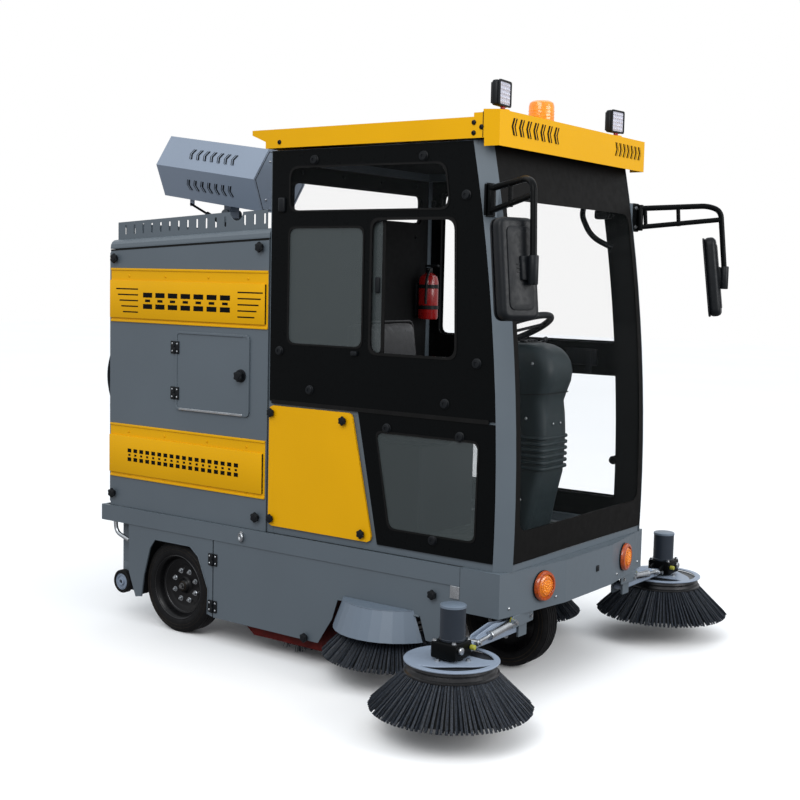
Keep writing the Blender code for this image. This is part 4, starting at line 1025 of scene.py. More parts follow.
def pedal_tread():
    """Cross ribs on the accelerator and the link under it."""
    pedal = Piece("pedal_tread", "pedal_body", "black_plastic")
    place = upright(-0.16, 0.238, 0.566) @ Matrix.Rotation(radians(-36), 4, "X")
    for i in range(7):
        rib = brick((0.050, 0.006, 0.004), 0.0015, 2)
        pedal.add(rib, place @ shift(0, -0.048 + 0.016 * i, 0.007), hard_plastic)
    pedal.add(brick((0.010, 0.05, 0.010), 0.002, 1), place @ shift(0, 0.030, -0.010), zinc)
    pedal.done()


def extinguisher():
    """Small extinguisher strapped to the wall behind the seat."""
    bottle = Piece("fire_extinguisher", "chassis", "red_rubber")
    foot = upright(0.430, 1.040, 1.370)
    body = [(0, 0), (0.040, 0), (0.045, 0.008), (0.045, 0.170), (0.038, 0.195), (0.014, 0.212), (0, 0.212)]
    bottle.add(spun(body, 32), foot, red_enamel)
    bottle.add(drum(0.016, 0.210, 0.235, 0.003, 20), foot, hard_plastic)
    bottle.add(brick((0.016, 0.070, 0.010), 0.003, 2), foot @ shift(0, -0.018, 0.243), hard_plastic)
    hose = [at(0.430, 1.035, 1.600), at(0.385, 1.020, 1.560), at(0.380, 1.020, 1.440)]
    bottle.add(pipe(hose, 0.006, 10, 0.03), Matrix(), hard_plastic)
    for z in (0.045, 0.140):
        band = [(0.0452, z), (0.0468, z + 0.001), (0.0468, z + 0.017), (0.0452, z + 0.018)]
        bottle.add(spun(band, 32), foot, hard_plastic)
    bottle.add(brick((0.060, 0.014, 0.150), 0.003, 2), foot @ shift(0, 0.050, 0.090), hard_plastic)
    bottle.done()


# ---- seat ---------------------------------------------------------------------------------
def pad_shape(size, bevel, crown, count):
    """A block with rounded edges, divided finely, its top raised to a soft crown."""
    bm = bmesh.new()
    bmesh.ops.create_cube(bm, size=1)
    bmesh.ops.subdivide_edges(bm, edges=bm.edges, cuts=count, use_grid_fill=True)
    for vert in bm.verts:
        u, v = 2 * vert.co.x, 2 * vert.co.y
        rise = crown * max(0.0, (1 - u**4) * (1 - v**4)) if vert.co.z > 0 else 0
        vert.co = Vector([c * s for c, s in zip(vert.co, size)]) + Vector((0, 0, rise))
    bmesh.ops.recalc_face_normals(bm, faces=bm.faces)
    soften(bm, bevel, 5, 1.0)
    return bm


def inflate(obj, most):
    """Lets the cover swell like upholstery over foam, holding each point near its start."""
    remesh = obj.modifiers.new("Remesh", "REMESH")
    remesh.mode = "VOXEL"
    remesh.voxel_size = 0.0075
    remesh.use_smooth_shade = True
    apply_modifiers(obj)
    start = [v.co.copy() for v in obj.data.vertices]
    cloth = obj.modifiers.new("Cloth", "CLOTH")
    cloth.settings.use_pressure = True
    cloth.settings.uniform_pressure_force = 4
    cloth.settings.effector_weights.gravity = 0
    cloth.settings.quality = 4
    last = 14
    cloth.point_cache.frame_start, cloth.point_cache.frame_end = 1, last
    scene = bpy.context.scene
    for number in range(1, last + 1):
        scene.frame_set(number)
    apply_modifiers(obj)
    for vert, was in zip(obj.data.vertices, start):
        move = vert.co - was
        if move.length > most:
            vert.co = was + move * (most / move.length)
    scene.frame_set(1)


def apply_modifiers(obj):
    """Replaces the object's mesh by what its modifiers make of it."""
    graph = bpy.context.evaluated_depsgraph_get()
    mesh = bpy.data.meshes.new_from_object(obj.evaluated_get(graph))
    obj.modifiers.clear()
    obj.data = mesh


def upholstery(name, node, size, place, crown, seams):
    """A padded piece that takes a soft node's place, with piping sewn on."""
    pad = Piece(name, "seat", "vinyl")
    pad.add(pad_shape(size, 0.026, crown, 9), place, vinyl)
    obj = pad.done(sharp=180, replaces=(node,))
    inflate(obj, 0.008)
    smooth = obj.modifiers.new("Smooth", "SMOOTH")
    smooth.iterations = 4
    apply_modifiers(obj)
    obj.data.shade_smooth()
    obj.data.materials.clear()
    obj.data.materials.append(vinyl)
    welt = Piece(f"{name}_piping", "seat", "vinyl")
    for seam in seams:
        welt.add(pipe(seam, 0.0032, 10, 0.03), place, vinyl)
    welt.done()


def welts(half_x, half_y, rise, seam_x, seam_y, crown):
    """Piping round a pad's edge and along two seams across its face."""
    edge = [(u, v, rise) for u, v in frame_of(-half_x, half_x, -half_y, half_y)]
    seams = [[*edge, edge[0]]]
    for x in (-seam_x, seam_x):
        seams.append([(x, -seam_y, crown), (x, seam_y, crown)])
    return seams


def seat():
    piping = welts(0.2265, 0.2145, 0.026, 0.125, 0.17, 0.056)
    place = upright(0, 0.6675, 0.944)
    upholstery("seat_pad", "seat_cushion", (0.445, 0.420, 0.086), place, 0.012, piping)
    piping = welts(0.212, 0.196, 0.022, 0.115, 0.155, 0.050)
    place = upright(0, 0.965, 1.170) @ Matrix.Rotation(radians(82), 4, "X")
    upholstery("seat_backrest", "seat_back", (0.415, 0.385, 0.076), place, 0.012, piping)


# ---- wheels -------------------------------------------------------------------------------
def tyre(piece, place, half):
    """Ribbed industrial tyre with a beaded sidewall."""
    tread = []
    for i in range(5):
        z = -half * 0.60 + half * 1.20 * i / 4
        tread += [(WHEEL_R - 0.004, z - 0.0065), (WHEEL_R, z - 0.0048)]
        tread += [(WHEEL_R, z + 0.0048), (WHEEL_R - 0.004, z + 0.0065)]
    wall = [(0.136, 0.70), (0.139, 0.86), (0.146, 0.95), (0.154, 1.0), (0.163, 0.99)]
    wall += [(0.173, 0.975), (0.183, 0.92), (0.191, 0.82), (0.1945, 0.76)]
    near = [(r, -share * half) for r, share in wall]
    outline = [*near, *tread, *[(r, -h) for r, h in reversed(near)]]
    piece.add(spun([*outline, outline[0]], 84), place, tyre_rubber)
    for end in (-1, 1):
        for radius, share in ((0.1645, 0.988), (0.1780, 0.952)):
            z = end * share * half
            ring = [(radius - 0.0012, z - 0.001), (radius, z + end * 0.0009), (radius + 0.0012, z - 0.001)]
            piece.add(spun([*ring, ring[0]], 84), place, tyre_line)


def rear_wheel(side, word):
    """Drive wheel: deep black disc, small hub cap and eight nuts."""
    wheel = Piece(f"drive_wheel_{word}", f"rear_wheel_body_{word}", "rubber")
    place = upright(side * 0.505, 1.644, WHEEL_R) @ Matrix.Rotation(side * pi / 2, 4, "Y")
    tyre(wheel, place, TYRE_HALF)
    rim = [(0, -0.004), (0.086, -0.004), (0.092, -0.001), (0.100, 0.004), (0.112, 0.006), (0.119, 0.010)]
    rim += [(0.125, 0.026), (0.131, 0.040), (0.1385, 0.0445)]
    rim += [(0.1410, 0.0405), (0.136, 0.034), (0.134, -0.035)]
    rim += [(0.139, -0.040), (0.139, -0.044), (0.128, -0.040), (0.122, -0.018), (0.052, -0.016), (0, -0.016)]
    wheel.add(spun(rim, 72), place, black_steel)
    wheel.add(spun([(0.1365, 0.0440), (0.1382, 0.0452), (0.1400, 0.0440)], 72), place, worn_steel)
    wheel.add(spun([(0.1115, 0.0056), (0.1135, 0.0074), (0.1155, 0.0066)], 72), place, worn_steel)
    cap = [(0, 0.016), (0.016, 0.016), (0.024, 0.012), (0.028, 0.004), (0.034, -0.003), (0.040, -0.0045)]
    wheel.add(spun(cap, 36), place, black_steel)
    wheel.add(bolt(0.0075), place @ shift(0, 0, 0.0155), drawn_steel)
    wheel.add(spun([(0.0175, 0.0158), (0.0190, 0.0172), (0.0205, 0.0150)], 36), place, tyre_line)
    for i in range(8):
        turn = Matrix.Rotation(tau * (i + 0.5) / 8, 4, "Z")
        wheel.add(bolt(0.0060), place @ turn @ shift(0.066, 0, -0.0045), zinc)
        wheel.add(drum(0.0040, 0, 0.011, 0.001, 12), place @ turn @ shift(0.066, 0, 0), zinc)
    wheel.done(replaces=(f"rear_wheel_{word}",))


def front_wheel():
    """Steered wheel, with the same disc and five nuts on each face."""
    wheel = Piece("steered_wheel", "front_wheel_body", "rubber")
    place = upright(0, 0.296, WHEEL_R) @ Matrix.Rotation(pi / 2, 4, "Y")
    tyre(wheel, place, TYRE_HALF)
    half = [(0.044, 0.070), (0.050, 0.030), (0.104, 0.026), (0.120, 0.036)]
    half += [(0.134, 0.042), (0.1385, 0.044), (0.1385, 0.038), (0.134, 0.034)]
    rim = [(0, 0.070), *half, *[(r, -h) for r, h in reversed(half)], (0, -0.070)]
    wheel.add(spun(rim, 56), place, black_steel)
    for end in (-1, 1):
        for i in range(5):
            turn = Matrix.Rotation(tau * i / 5, 4, "Z")
            flip = Matrix.Diagonal((1, 1, end, 1))
            wheel.add(bolt(0.0065), place @ flip @ turn @ shift(0.075, 0, 0.0285), zinc)
    wheel.done(replaces=("front_wheel",))


def guide_wheel(side, word):
    """Small rubber-rimmed guide wheel under its bent bracket."""
    wheel = Piece(f"guide_roller_{word}", f"guide_{word}", "rubber")
    place = upright(side * 0.5475, 1.988, 0.171) @ Matrix.Rotation(side * pi / 2, 4, "Y")
    half = [(0.037, -0.015), (0.047, -0.016), (0.052, -0.011)]
    band = [*half, *[(r, -h) for r, h in reversed(half)], half[0]]
    wheel.add(spun(band, 48), place, tyre_rubber)
    hub = [(0, 0.012), (0.0085, 0.012), (0.0095, 0.019), (0.0160, 0.019), (0.0180, 0.009), (0.0260, 0.008)]
    hub += [(0.0275, 0.0125), (0.0310, 0.0125), (0.0325, 0.009)]
    hub += [(0.0350, 0.009), (0.0375, 0.013), (0.0385, 0.0)]
    hub += [(0.0375, -0.013), (0.014, -0.013), (0.012, -0.024), (0, -0.024)]
    wheel.add(spun(hub, 40), place, pale_paint)
    # Painted shade: a dark disc at the bottom of the hub's centre recess.
    wheel.add(drum(0.0085, 0.0118, 0.0128, 0, 20), place, seal_rubber)
    wheel.done(replaces=(f"guide_wheel_{word}",))
    bar = Piece(f"guide_bracket_{word}", "chassis", "steel")
    x = side * 0.561
    path = [at(x, 2.028, 0.452), at(x, 2.022, 0.392), at(x, 1.938, 0.366)]
    bar.add(pipe(path, 0.0095, 16, 0.06), Matrix(), zinc)
    bar.add(brick((0.008, 0.050, 0.100), 0.002), upright(side * 0.524, 1.985, 0.205), grey_paint)
    bar.done()


# ---- sweeping gear ------------------------------------------------------------------------
def strands(rng, count, spread, length, fan):
    """One tuft hanging from the origin: separate bristles that part towards their tips."""
    tuft = bmesh.new()
    for _ in range(count):
        start = Vector((rng.uniform(-spread, spread), rng.uniform(-spread, spread), 0))
        lean = Vector((rng.gauss(0, fan), rng.gauss(0, fan), -1)).normalized()
        reach = length * rng.uniform(0.990, 1.0)
        hair = along(start, lean) @ shift(0, 0, reach / 2)
        made = bmesh.ops.create_cone(
            tuft, cap_ends=True, segments=3, radius1=0.0017, radius2=0.0013, depth=reach
        )["verts"]
        bmesh.ops.transform(tuft, matrix=hair, verts=made)
    return tuft


def side_brush(name, body, node, spindle):
    """A steel plate with three rings of splayed tufts, and a black cone of painted shade among them."""
    rng = random.Random(name)
    brush = Piece(name, body, "bristle")
    plate_low, plate_high, tip_z = 0.227, 0.2610, 0.100
    base = Matrix.Translation(spindle)
    disc = [(0, plate_high), (0.143, plate_high), (0.1475, plate_high - 0.003), (0.1495, plate_high - 0.012)]
    disc += [(0.1555, plate_high - 0.018), (0.1575, plate_low + 0.006), (0.1635, plate_low + 0.002)]
    disc += [(0.1635, plate_low - 0.003), (0.150, plate_low - 0.006), (0, plate_low - 0.006)]
    brush.add(spun(disc, 72), base, worn_steel)
    drop = plate_low - tip_z
    rings = ((0.154, 0.281, 104), (0.140, 0.264, 90), (0.122, 0.240, 76))
    for start, stop, count in rings:
        slope = atan((stop - start) / drop)
        length = drop / cos(slope)
        tufts = [strands(rng, 17, 0.0027, length, 0.0085) for _ in range(4)]
        for i in range(count):
            turn = Matrix.Rotation(tau * i / count, 4, "Z")
            tip = Matrix.Rotation(-slope + rng.gauss(0, 0.006), 4, "Y")
            twist = Matrix.Rotation(rng.gauss(0, 0.006), 4, "X")
            spot = base @ turn @ shift(start, 0, plate_low) @ tip @ twist
            brush.add(tufts[i % 4].copy(), spot, bristles, smooth=False)
        for tuft in tufts:
            tuft.free()
    # Painted shade: a black cone among the rings of tufts stands in for the shade between the bristles.
    painted_shade = [(0.112, plate_low), (0.142, plate_low), (0.262, tip_z + 0.010), (0.238, tip_z + 0.010)]
    brush.add(spun([*painted_shade, painted_shade[0]], 64), base, matt_black)
    brush.done(sharp=30, replaces=(node,))


def motor(piece, place, radius):
    """Hydraulic motor: a plain can with a lighter cap and a bead near its foot."""
    can = [(0, 0.330), (radius, 0.330), (radius, 0.448), (0, 0.448)]
    piece.add(spun(can, 48), place, motor_paint)
    rim = radius + 0.0015
    cap = [(0, 0.447), (rim, 0.447), (rim, 0.4545), (radius - 0.002, 0.457), (0, 0.457)]
    piece.add(spun(cap, 48), place, light_grey_with_painted_shade)
    bead = [(radius, 0.338), (radius + 0.003, 0.340), (radius, 0.342)]
    piece.add(spun(bead, 48), place, motor_paint)


def gearbox(piece, place, size):
    """Block under a motor, with a clamping bolt at each corner."""
    piece.add(brick(size, 0.007, 3), place @ shift(0, 0, 0.305), black_paint)
    for u in (-1, 1):
        for v in (-1, 1):
            piece.add(bolt(0.0048), place @ shift(u * (size[0] / 2 - 0.010), v * 0.040, 0.334), zinc)


def crescent():
    """Hole along the guard plate's outer front edge, pointed at both ends."""
    reach, steps, start, end = 0.141, 18, -100, 18
    inner = []
    for i in range(1, steps):
        t = i / steps
        turn = radians(end - (end - start) * t)
        radius = reach - 0.052 * sin(pi * t)
        inner.append((radius * cos(turn), radius * sin(turn)))
    return arc((0, 0), reach, start, end, steps) + inner


def teardrop():
    """Large hole between the gearbox and the guard plate's inner edge."""
    rim = arc((0, 0), 0.143, 140, 238, 14)
    return rim + [(-0.062, -0.094), (-0.064, -0.040), (-0.074, 0.020), (-0.090, 0.070)]


def front_head(side, word):
    """Motor head over the brush, with the pale guard plate round it."""
    head = Piece(f"front_motor_head_{word}", f"front_head_body_{word}", "black_plastic")
    place = mirrored(side) @ upright(*FRONT_BRUSH, 0)
    gearbox(head, place @ shift(0.006, 0), (0.106, 0.100, 0.058))
    motor(head, place, 0.044)
    ring = arc((0, 0), GUARD_R, 0, 355, 71)
    guard = sheet([ring, crescent(), teardrop()], 0.0055, 0.0012)
    head.add(guard, place @ shift(0, 0, 0.2628), pale_paint)
    head.add(drum(0.040, 0.2635, 0.280, 0.002, 32), place, black_paint)
    for angle in (20, 140, 260):
        turn = Matrix.Rotation(radians(angle), 4, "Z")
        head.add(bolt(0.005), place @ turn @ shift(0.060, 0, 0.268), zinc)
    arms = [(-0.090, 0.278), (-0.082, 0.312), (-0.040, 0.326), (0.0, 0.312), (0.0, 0.278)]
    for low in (-0.027, 0.019):
        cheek = sheet([rounded(arms, 0.010)], 0.008, 0.001)
        head.add(cheek, place @ axes((1, 0, 0), (0, 0, 1), (0, -1, 0), (0, low + 0.008, 0)), black_paint)
    pin = pipe([(-0.072, -0.034, 0.290), (-0.072, 0.034, 0.290)], 0.0075, 20)
    head.add(pin, place, zinc)
    forwards = (0, -1, 0)
    plug = along(place @ Vector((0.030, -0.050, 0.310)), forwards)
    head.add(drum(0.0125, 0, 0.012, 0.002, 20), plug, zinc)
    fitting = along(place @ Vector((-0.036, -0.052, 0.310)), forwards)
    head.add(drum(0.0090, 0, 0.018, 0.002, 16), fitting, ochre_enamel)
    head.done(replaces=(f"front_head_{word}",))


def front_arm(side, word):
    """Flat arm with its plated cylinder alongside, and the plate that carries both."""
    arm = Piece(f"front_swing_arm_{word}", f"front_arm_body_{word}", "light_grey_paint")
    flip = mirrored(side)
    lower = [(0.400, 0.278), (0.788, 0.278), (0.792, 0.300), (0.740, 0.306)]
    lower += [(0.560, 0.316), (0.420, 0.306), (0.398, 0.296)]
    place = flip @ on_front(0.036)
    arm.add(sheet([rounded(lower, 0.008, 4)], 0.036, 0.003, 2), place, pale_paint)
    for y in (0.036, 0.012):
        rib = [(0.450, 0.306), (0.720, 0.298), (0.700, 0.318), (0.590, 0.338), (0.480, 0.328)]
        arm.add(sheet([rounded(rib, 0.008, 4)], 0.005, 0.001), flip @ on_front(y), pale_paint)
    start, stop = at(0.478, -0.004, 0.322), at(0.722, -0.004, 0.300)
    middle = start.lerp(stop, 0.66)
    arm.add(pipe([start, middle], 0.0145, 28), flip, zinc)
    arm.add(pipe([middle, stop], 0.0070, 18), flip, zinc)
    for t in (0.02, 0.64):
        band = start.lerp(stop, t)
        arm.add(drum(0.0160, -0.006, 0.006, 0.0015, 28), flip @ along(band, stop - start), zinc)
    for spot, size in ((start, 0.014), (stop, 0.0115)):
        arm.add(drum(size, -0.012, 0.020, 0.002, 20), flip @ along(spot, (0, 1, 0)), zinc)
        arm.add(bolt(0.005), flip @ along(spot + Vector((0, -0.012, 0)), (0, -1, 0)), zinc)
    fitting = start.lerp(stop, 0.10)
    arm.add(drum(0.0065, 0.010, 0.026, 0.001, 12), flip @ along(fitting, (0, -0.4, 1)), ochre_enamel)
    arm.done(replaces=(f"front_arm_{word}",))
    mount = Piece(f"arm_bracket_{word}", "chassis", "grey_paint")
    plate = [(0.360, 0.310), (0.505, 0.306), (0.512, 0.340), (0.500, 0.350), (0.360, 0.350)]
    mount.add(sheet([rounded(plate, 0.004, 3)], 0.006, 0.0012), flip @ on_front(-0.012), grey_paint)
    for x in (0.380, 0.490):
        mount.add(bolt(0.0048), flip @ on_front(-0.018) @ shift(x, 0.330), zinc)
    mount.done()


def mid_head(side, word):
    """Motor head over a middle brush, on its slide."""
    head = Piece(f"mid_motor_head_{word}", f"mid_head_body_{word}", "black_plastic")
    place = mirrored(side) @ upright(*MID_BRUSH, 0)
    gearbox(head, place, (0.100, 0.100, 0.058))
    motor(head, place, 0.042)
    head.add(drum(0.040, 0.2628, 0.280, 0.002, 32), place, black_paint)
    head.add(brick((0.090, 0.012, 0.152), 0.003, 2), place @ shift(-0.010, 0.076, 0.361), grey_paint)
    head.add(brick((0.060, 0.045, 0.030), 0.004, 2), place @ shift(0, 0.0525, 0.305), black_paint)
    for u in (-0.040, 0.020):
        for z in (0.305, 0.415):
            spot = place @ shift(u, 0.070, z) @ Matrix.Rotation(pi / 2, 4, "X")
            head.add(bolt(0.0045), spot, zinc)
    head.done(replaces=(f"mid_head_{word}",))


def roller():
    """Cylindrical brush: spiral rows of tufts on a core."""
    rng = random.Random(4)
    brush = Piece("roller_tufts", "roller", "bristle")
    place = upright(0, 1.050, 0.152) @ Matrix.Rotation(pi / 2, 4, "Y")
    brush.add(drum(0.062, -0.449, 0.449, 0.004, 40), place, matt_black)
    brush.add(drum(0.0150, -0.469, 0.469, 0.002, 24), place, zinc)
    tufts = [strands(rng, 9, 0.007, 0.090, 0.075) for _ in range(4)]
    rows, across = 12, 34
    for row in range(rows):
        for i in range(across):
            z = -0.436 + 0.872 * i / (across - 1)
            turn = Matrix.Rotation(tau * row / rows + 2.6 * z, 4, "Z")
            spot = place @ turn @ shift(0.060, 0, z) @ Matrix.Rotation(-pi / 2, 4, "Y")
            brush.add(tufts[(row + i) % 4].copy(), spot, bristles, smooth=False)
    for tuft in tufts:
        tuft.free()
    brush.done(sharp=30, replaces=("roller_brush",))


# ---- rear body ----------------------------------------------------------------------------
def banner(name, edges, raised):
    """Yellow side plate: a turned ledge along its top and foot, a boxed-out middle, and a black strip of
    painted shade at the middle's front end.
    """
    piece = Piece(name, "chassis", "yellow_paint")
    place = on_side(RIGHT, PANEL_X)
    piece.add(sheet([frame_of(*edges)], 0.0022, 0.0006), place, yellow_paint)
    low_y, high_y, low_z, high_z = edges
    for z in (high_z - 0.010, low_z):
        ledge = sheet([frame_of(low_y, high_y, z, z + 0.010)], 0.0060, 0.0015, 2)
        piece.add(ledge, place, yellow_paint)
    piece.add(sheet([rounded(frame_of(*raised), 0.003)], 0.0105, 0.0016, 2), place, yellow_paint)
    # Painted shade: a thin black strip along the raised plate's front end stands in for the shade at its
    # edge.
    painted_shade = sheet([frame_of(raised[0] - 0.0012, raised[0], raised[2] + 0.002, raised[3] - 0.002)], 0.0088)
    piece.add(painted_shade, place, matt_black)
    for y in (1.944, 1.719, 1.464, 1.239):
        for z in (raised[3] + 0.019, raised[2] - 0.007):
            piece.add(dome_screw(0.0050), place @ shift(y, z, 0.0022), yellow_paint)
    return piece, place @ shift(0, 0, 0.0100)


def stripes(piece, top, inner_y, outer_y, low_z, high_z):
    """Five printed lines one under another, each a little shorter than the one above."""
    for i in range(5):
        z = high_z - (high_z - low_z) * i / 4
        end = outer_y + (inner_y - outer_y) * 0.08 * i
        line = frame_of(min(inner_y, end), max(inner_y, end), z - 0.0028, z + 0.0028)
        piece.add(sheet([line], 0.0010), top, black_paint)


def plain_marks(piece, top, low_y, high_y, low_z, high_z, count, fill):
    """A row of plain split blocks, in place of lettering."""
    pitch = (high_y - low_y) / count
    wide = fill * pitch
    tall = high_z - low_z
    for i in range(count):
        y = low_y + (i + 0.5) * pitch
        for part, (bottom, upper) in enumerate(((0.0, 0.30), (0.42, 0.58), (0.70, 1.0))):
            inset = 0.22 * wide if part == 1 else 0.0
            reach = wide / 2 - inset
            block = frame_of(y - reach, y + reach, low_z + bottom * tall, low_z + upper * tall)
            piece.add(sheet([block], 0.0010), top, black_paint)


def banners():
    """The upper plate has printed stripes at both ends; both have a row of plain blocks."""
    piece, top = banner("upper_banner", (1.131, 2.061, 1.335, 1.570), (1.142, 2.062, 1.353, 1.517))
    stripes(piece, top, 1.880, 2.020, 1.380, 1.480)
    stripes(piece, top, 1.290, 1.152, 1.380, 1.480)
    plain_marks(piece, top, 1.322, 1.858, 1.396, 1.466, 7, 0.74)
    piece.done()
    piece, top = banner("lower_banner", (1.137, 2.064, 0.645, 0.884), (1.148, 2.064, 0.665, 0.832))
    plain_marks(piece, top, 1.270, 1.950, 0.722, 0.778, 18, 0.62)
    piece.done()


HATCH_HINGES = (1.238, 1.043)


def hood_line():
    """Dark line under the hood's edge."""
    return sheet([[(1.1305, 1.6925), (2.066, 1.6446), (2.066, 1.6506), (1.1305, 1.6985)]], 0.0015)


def body_fittings():
    """Knobs that hold the side panels, the line under the hood, the hatch's fixed hinge leaves."""
    fittings = Piece("body_knobs", "chassis", "black_plastic")
    for side, _ in SIDES:
        place = on_side(side, PANEL_X)
        for y, z in ((2.032, 1.612), (1.172, 1.663), (2.044, 0.568), (1.179, 0.567)):
            fittings.add(hand_knob(0.020, 0.020), place @ shift(y, z), hard_plastic)
    for side, _ in SIDES:
        fittings.add(hood_line(), on_side(side, PANEL_X - 0.0004), seal_rubber)
    for z in HATCH_HINGES:
        knuckle = upright(-0.565, 1.656, z)
        fittings.add(drum(0.0055, 0.001, 0.027, 0.001, 16), knuckle, hard_plastic)
        fittings.add(brick((0.004, 0.026, 0.054), 0.001), knuckle @ shift(0.0060, 0.0145), hard_plastic)
        for dz in (-0.016, 0.016):
            spot = on_side(RIGHT, 0.561) @ shift(1.673, z + dz)
            fittings.add(dome_screw(0.0045), spot, zinc)
    fittings.done()


def hatch():
    """Pressed bead, strips, knob and moving hinge leaves of the small side door; the lower strip's bright
    zinc is a painted highlight.
    """
    cover = Piece("hatch_fittings", "hatch", "black_plastic")
    place = on_side(RIGHT, 0.562)
    bead = [rounded(frame_of(1.226, 1.651, 0.973, 1.308), 0.02)]
    bead.append(rounded(frame_of(1.236, 1.641, 0.983, 1.298), 0.014))
    cover.add(sheet(bead, 0.003, 0.001), place, grey_paint)
    # Painted highlight: the bright zinc strip at the lower edge stands in for light on the panel's edge; the
    # upper strip is plain grey paint.
    for z, finish in ((0.978, zinc), (1.303, grey_paint)):
        strip = rounded(frame_of(1.262, 1.628, z - 0.0045, z + 0.0045), 0.003)
        cover.add(sheet([strip], 0.0050, 0.001), place, finish)
    cover.add(hand_knob(0.022, 0.024), place @ shift(1.271, 1.140), hard_plastic)
    cover.add(drum(0.027, 0, 0.004, 0.001, 28), place @ shift(1.271, 1.140), hard_plastic)
    for z in HATCH_HINGES:
        knuckle = upright(-0.5655, 1.656, z)
        cover.add(drum(0.0055, -0.027, -0.001, 0.001, 16), knuckle, hard_plastic)
        cover.add(brick((0.004, 0.026, 0.054), 0.001), knuckle @ shift(0.0010, -0.0145), hard_plastic)
        for dz in (-0.016, 0.016):
            cover.add(dome_screw(0.0045), place @ shift(1.639, z + dz, 0.0045), zinc)
    cover.done()


def rear_door():
    """Pressed frames, slots, handle and hinges of the rear door, and the tail lamps below it."""
    leaf = Piece("rear_door_fittings", "rear_door_body", "grey_paint")
    place = on_front(2.0875, 1)
    for low, high in ((0.56, 1.00), (1.08, 1.60)):
        rib = [rounded(frame_of(-0.500, 0.500, low, high), 0.03)]
        rib.append(rounded(frame_of(-0.470, 0.470, low + 0.03, high - 0.03), 0.02))
        leaf.add(sheet(rib, 0.005, 0.0015, 2), place, grey_paint)
    # Painted shade: the slots are flat black plates standing in for the shade inside them.
    for i in range(7):
        slot = rounded(frame_of(-0.30 + 0.10 * i, -0.235 + 0.10 * i, 1.40, 1.412), 0.005)
        leaf.add(sheet([slot], 0.0012), place, matt_black)
    x = -0.517
    grip = [at(x, 2.090 + 0.036 * sin(pi * i / 16), 0.955 + 0.265 * i / 16) for i in range(17)]
    leaf.add(pipe(grip, 0.0065, 14), Matrix(), hard_plastic)
    for z in (0.957, 1.218):
        leaf.add(brick((0.030, 0.008, 0.034), 0.003, 2), upright(x, 2.0905, z), hard_plastic)
    leaf.add(drum(0.012, 0, 0.010, 0.002, 24), place @ shift(-0.470, 1.086), zinc)
    for z in (0.64, 1.08, 1.52):
        leaf.add(drum(0.008, -0.045, 0.045, 0.002, 20), upright(0.550, 2.090, z), hard_plastic)
        leaf.add(brick((0.070, 0.006, 0.080), 0.002), upright(0.512, 2.0905, z), hard_plastic)
        for dz in (-0.024, 0.024):
            leaf.add(dome_screw(0.0055), place @ shift(0.495, z + dz, 0.006), zinc)
    leaf.done()
    tail = Piece("tail_lamps", "chassis", "black_plastic")
    for side, _ in SIDES:
        spot = on_front(2.104, 1) @ shift(side * 0.470, 0.477)
        case = rounded(frame_of(-0.060, 0.060, -0.026, 0.026), 0.010)
        tail.add(sheet([case], 0.010, 0.002, 2), spot, hard_plastic)
        for u, finish in ((-0.034, red_lens), (0.0, amber), (0.034, red_lens)):
            dome = [(0, 0.010), (0.015, 0.010), (0.013, 0.0145), (0.006, 0.0165), (0, 0.017)]
            tail.add(spun(dome, 28), spot @ shift(u, 0), finish)
    tail.done()


def guard_rail():
    """A folded fence with a row of upright slots along each side."""
    front, rear, high, wall, half = 1.174, 2.060, 0.076, 0.003, 0.520
    rail = Piece("slotted_guard_rail", "chassis", "grey_paint")

    def slot(y):
        low = hood_top(y) + 0.020
        return rounded(frame_of(y - 0.0055, y + 0.0055, low, low + 0.042), 0.004, 3)

    notch_y = 1.345
    spots = [y for y in [1.190 + 0.0547 * i for i in range(16)] if abs(y - notch_y) > 0.02]
    notch = arc((notch_y, hood_top(notch_y) + high + 0.001), 0.036, 0, -180, 14)
    outline = [(front, hood_top(front) + 0.0004), (rear, hood_top(rear) + 0.0004)]
    outline.append((rear, hood_top(rear) + high))
    outline += [*notch, (front, hood_top(front) + high)]
    for side, _ in SIDES:
        fence = sheet([outline, *[slot(y) for y in spots]], wall)
        rail.add(fence, on_side(side, half - wall), grey_paint)
    low, top = hood_top(rear) + 0.0004, hood_top(rear) + high
    loops = [frame_of(-half + 0.002, half - 0.002, low, top)]
    for i in range(17):
        x = -0.48 + 0.06 * i
        loops.append(rounded(frame_of(x - 0.005, x + 0.005, low + 0.024, low + 0.056), 0.004, 3))
    rail.add(sheet(loops, wall), on_front(rear - wall, 1), grey_paint)
    tipped = Matrix.Rotation(-atan(HOOD_SLOPE), 4, "X")
    for side, _ in SIDES:
        for y in (1.25, 1.62, 1.98):
            foot = upright(side * 0.503, y, hood_top(y) + 0.0023) @ tipped
            rail.add(brick((0.030, 0.030, 0.003), 0.001), foot, grey_paint)
            rail.add(bolt(0.004), upright(side * 0.500, y, hood_top(y) + 0.0035), zinc)
    rail.done(replaces=("guard_rail",))


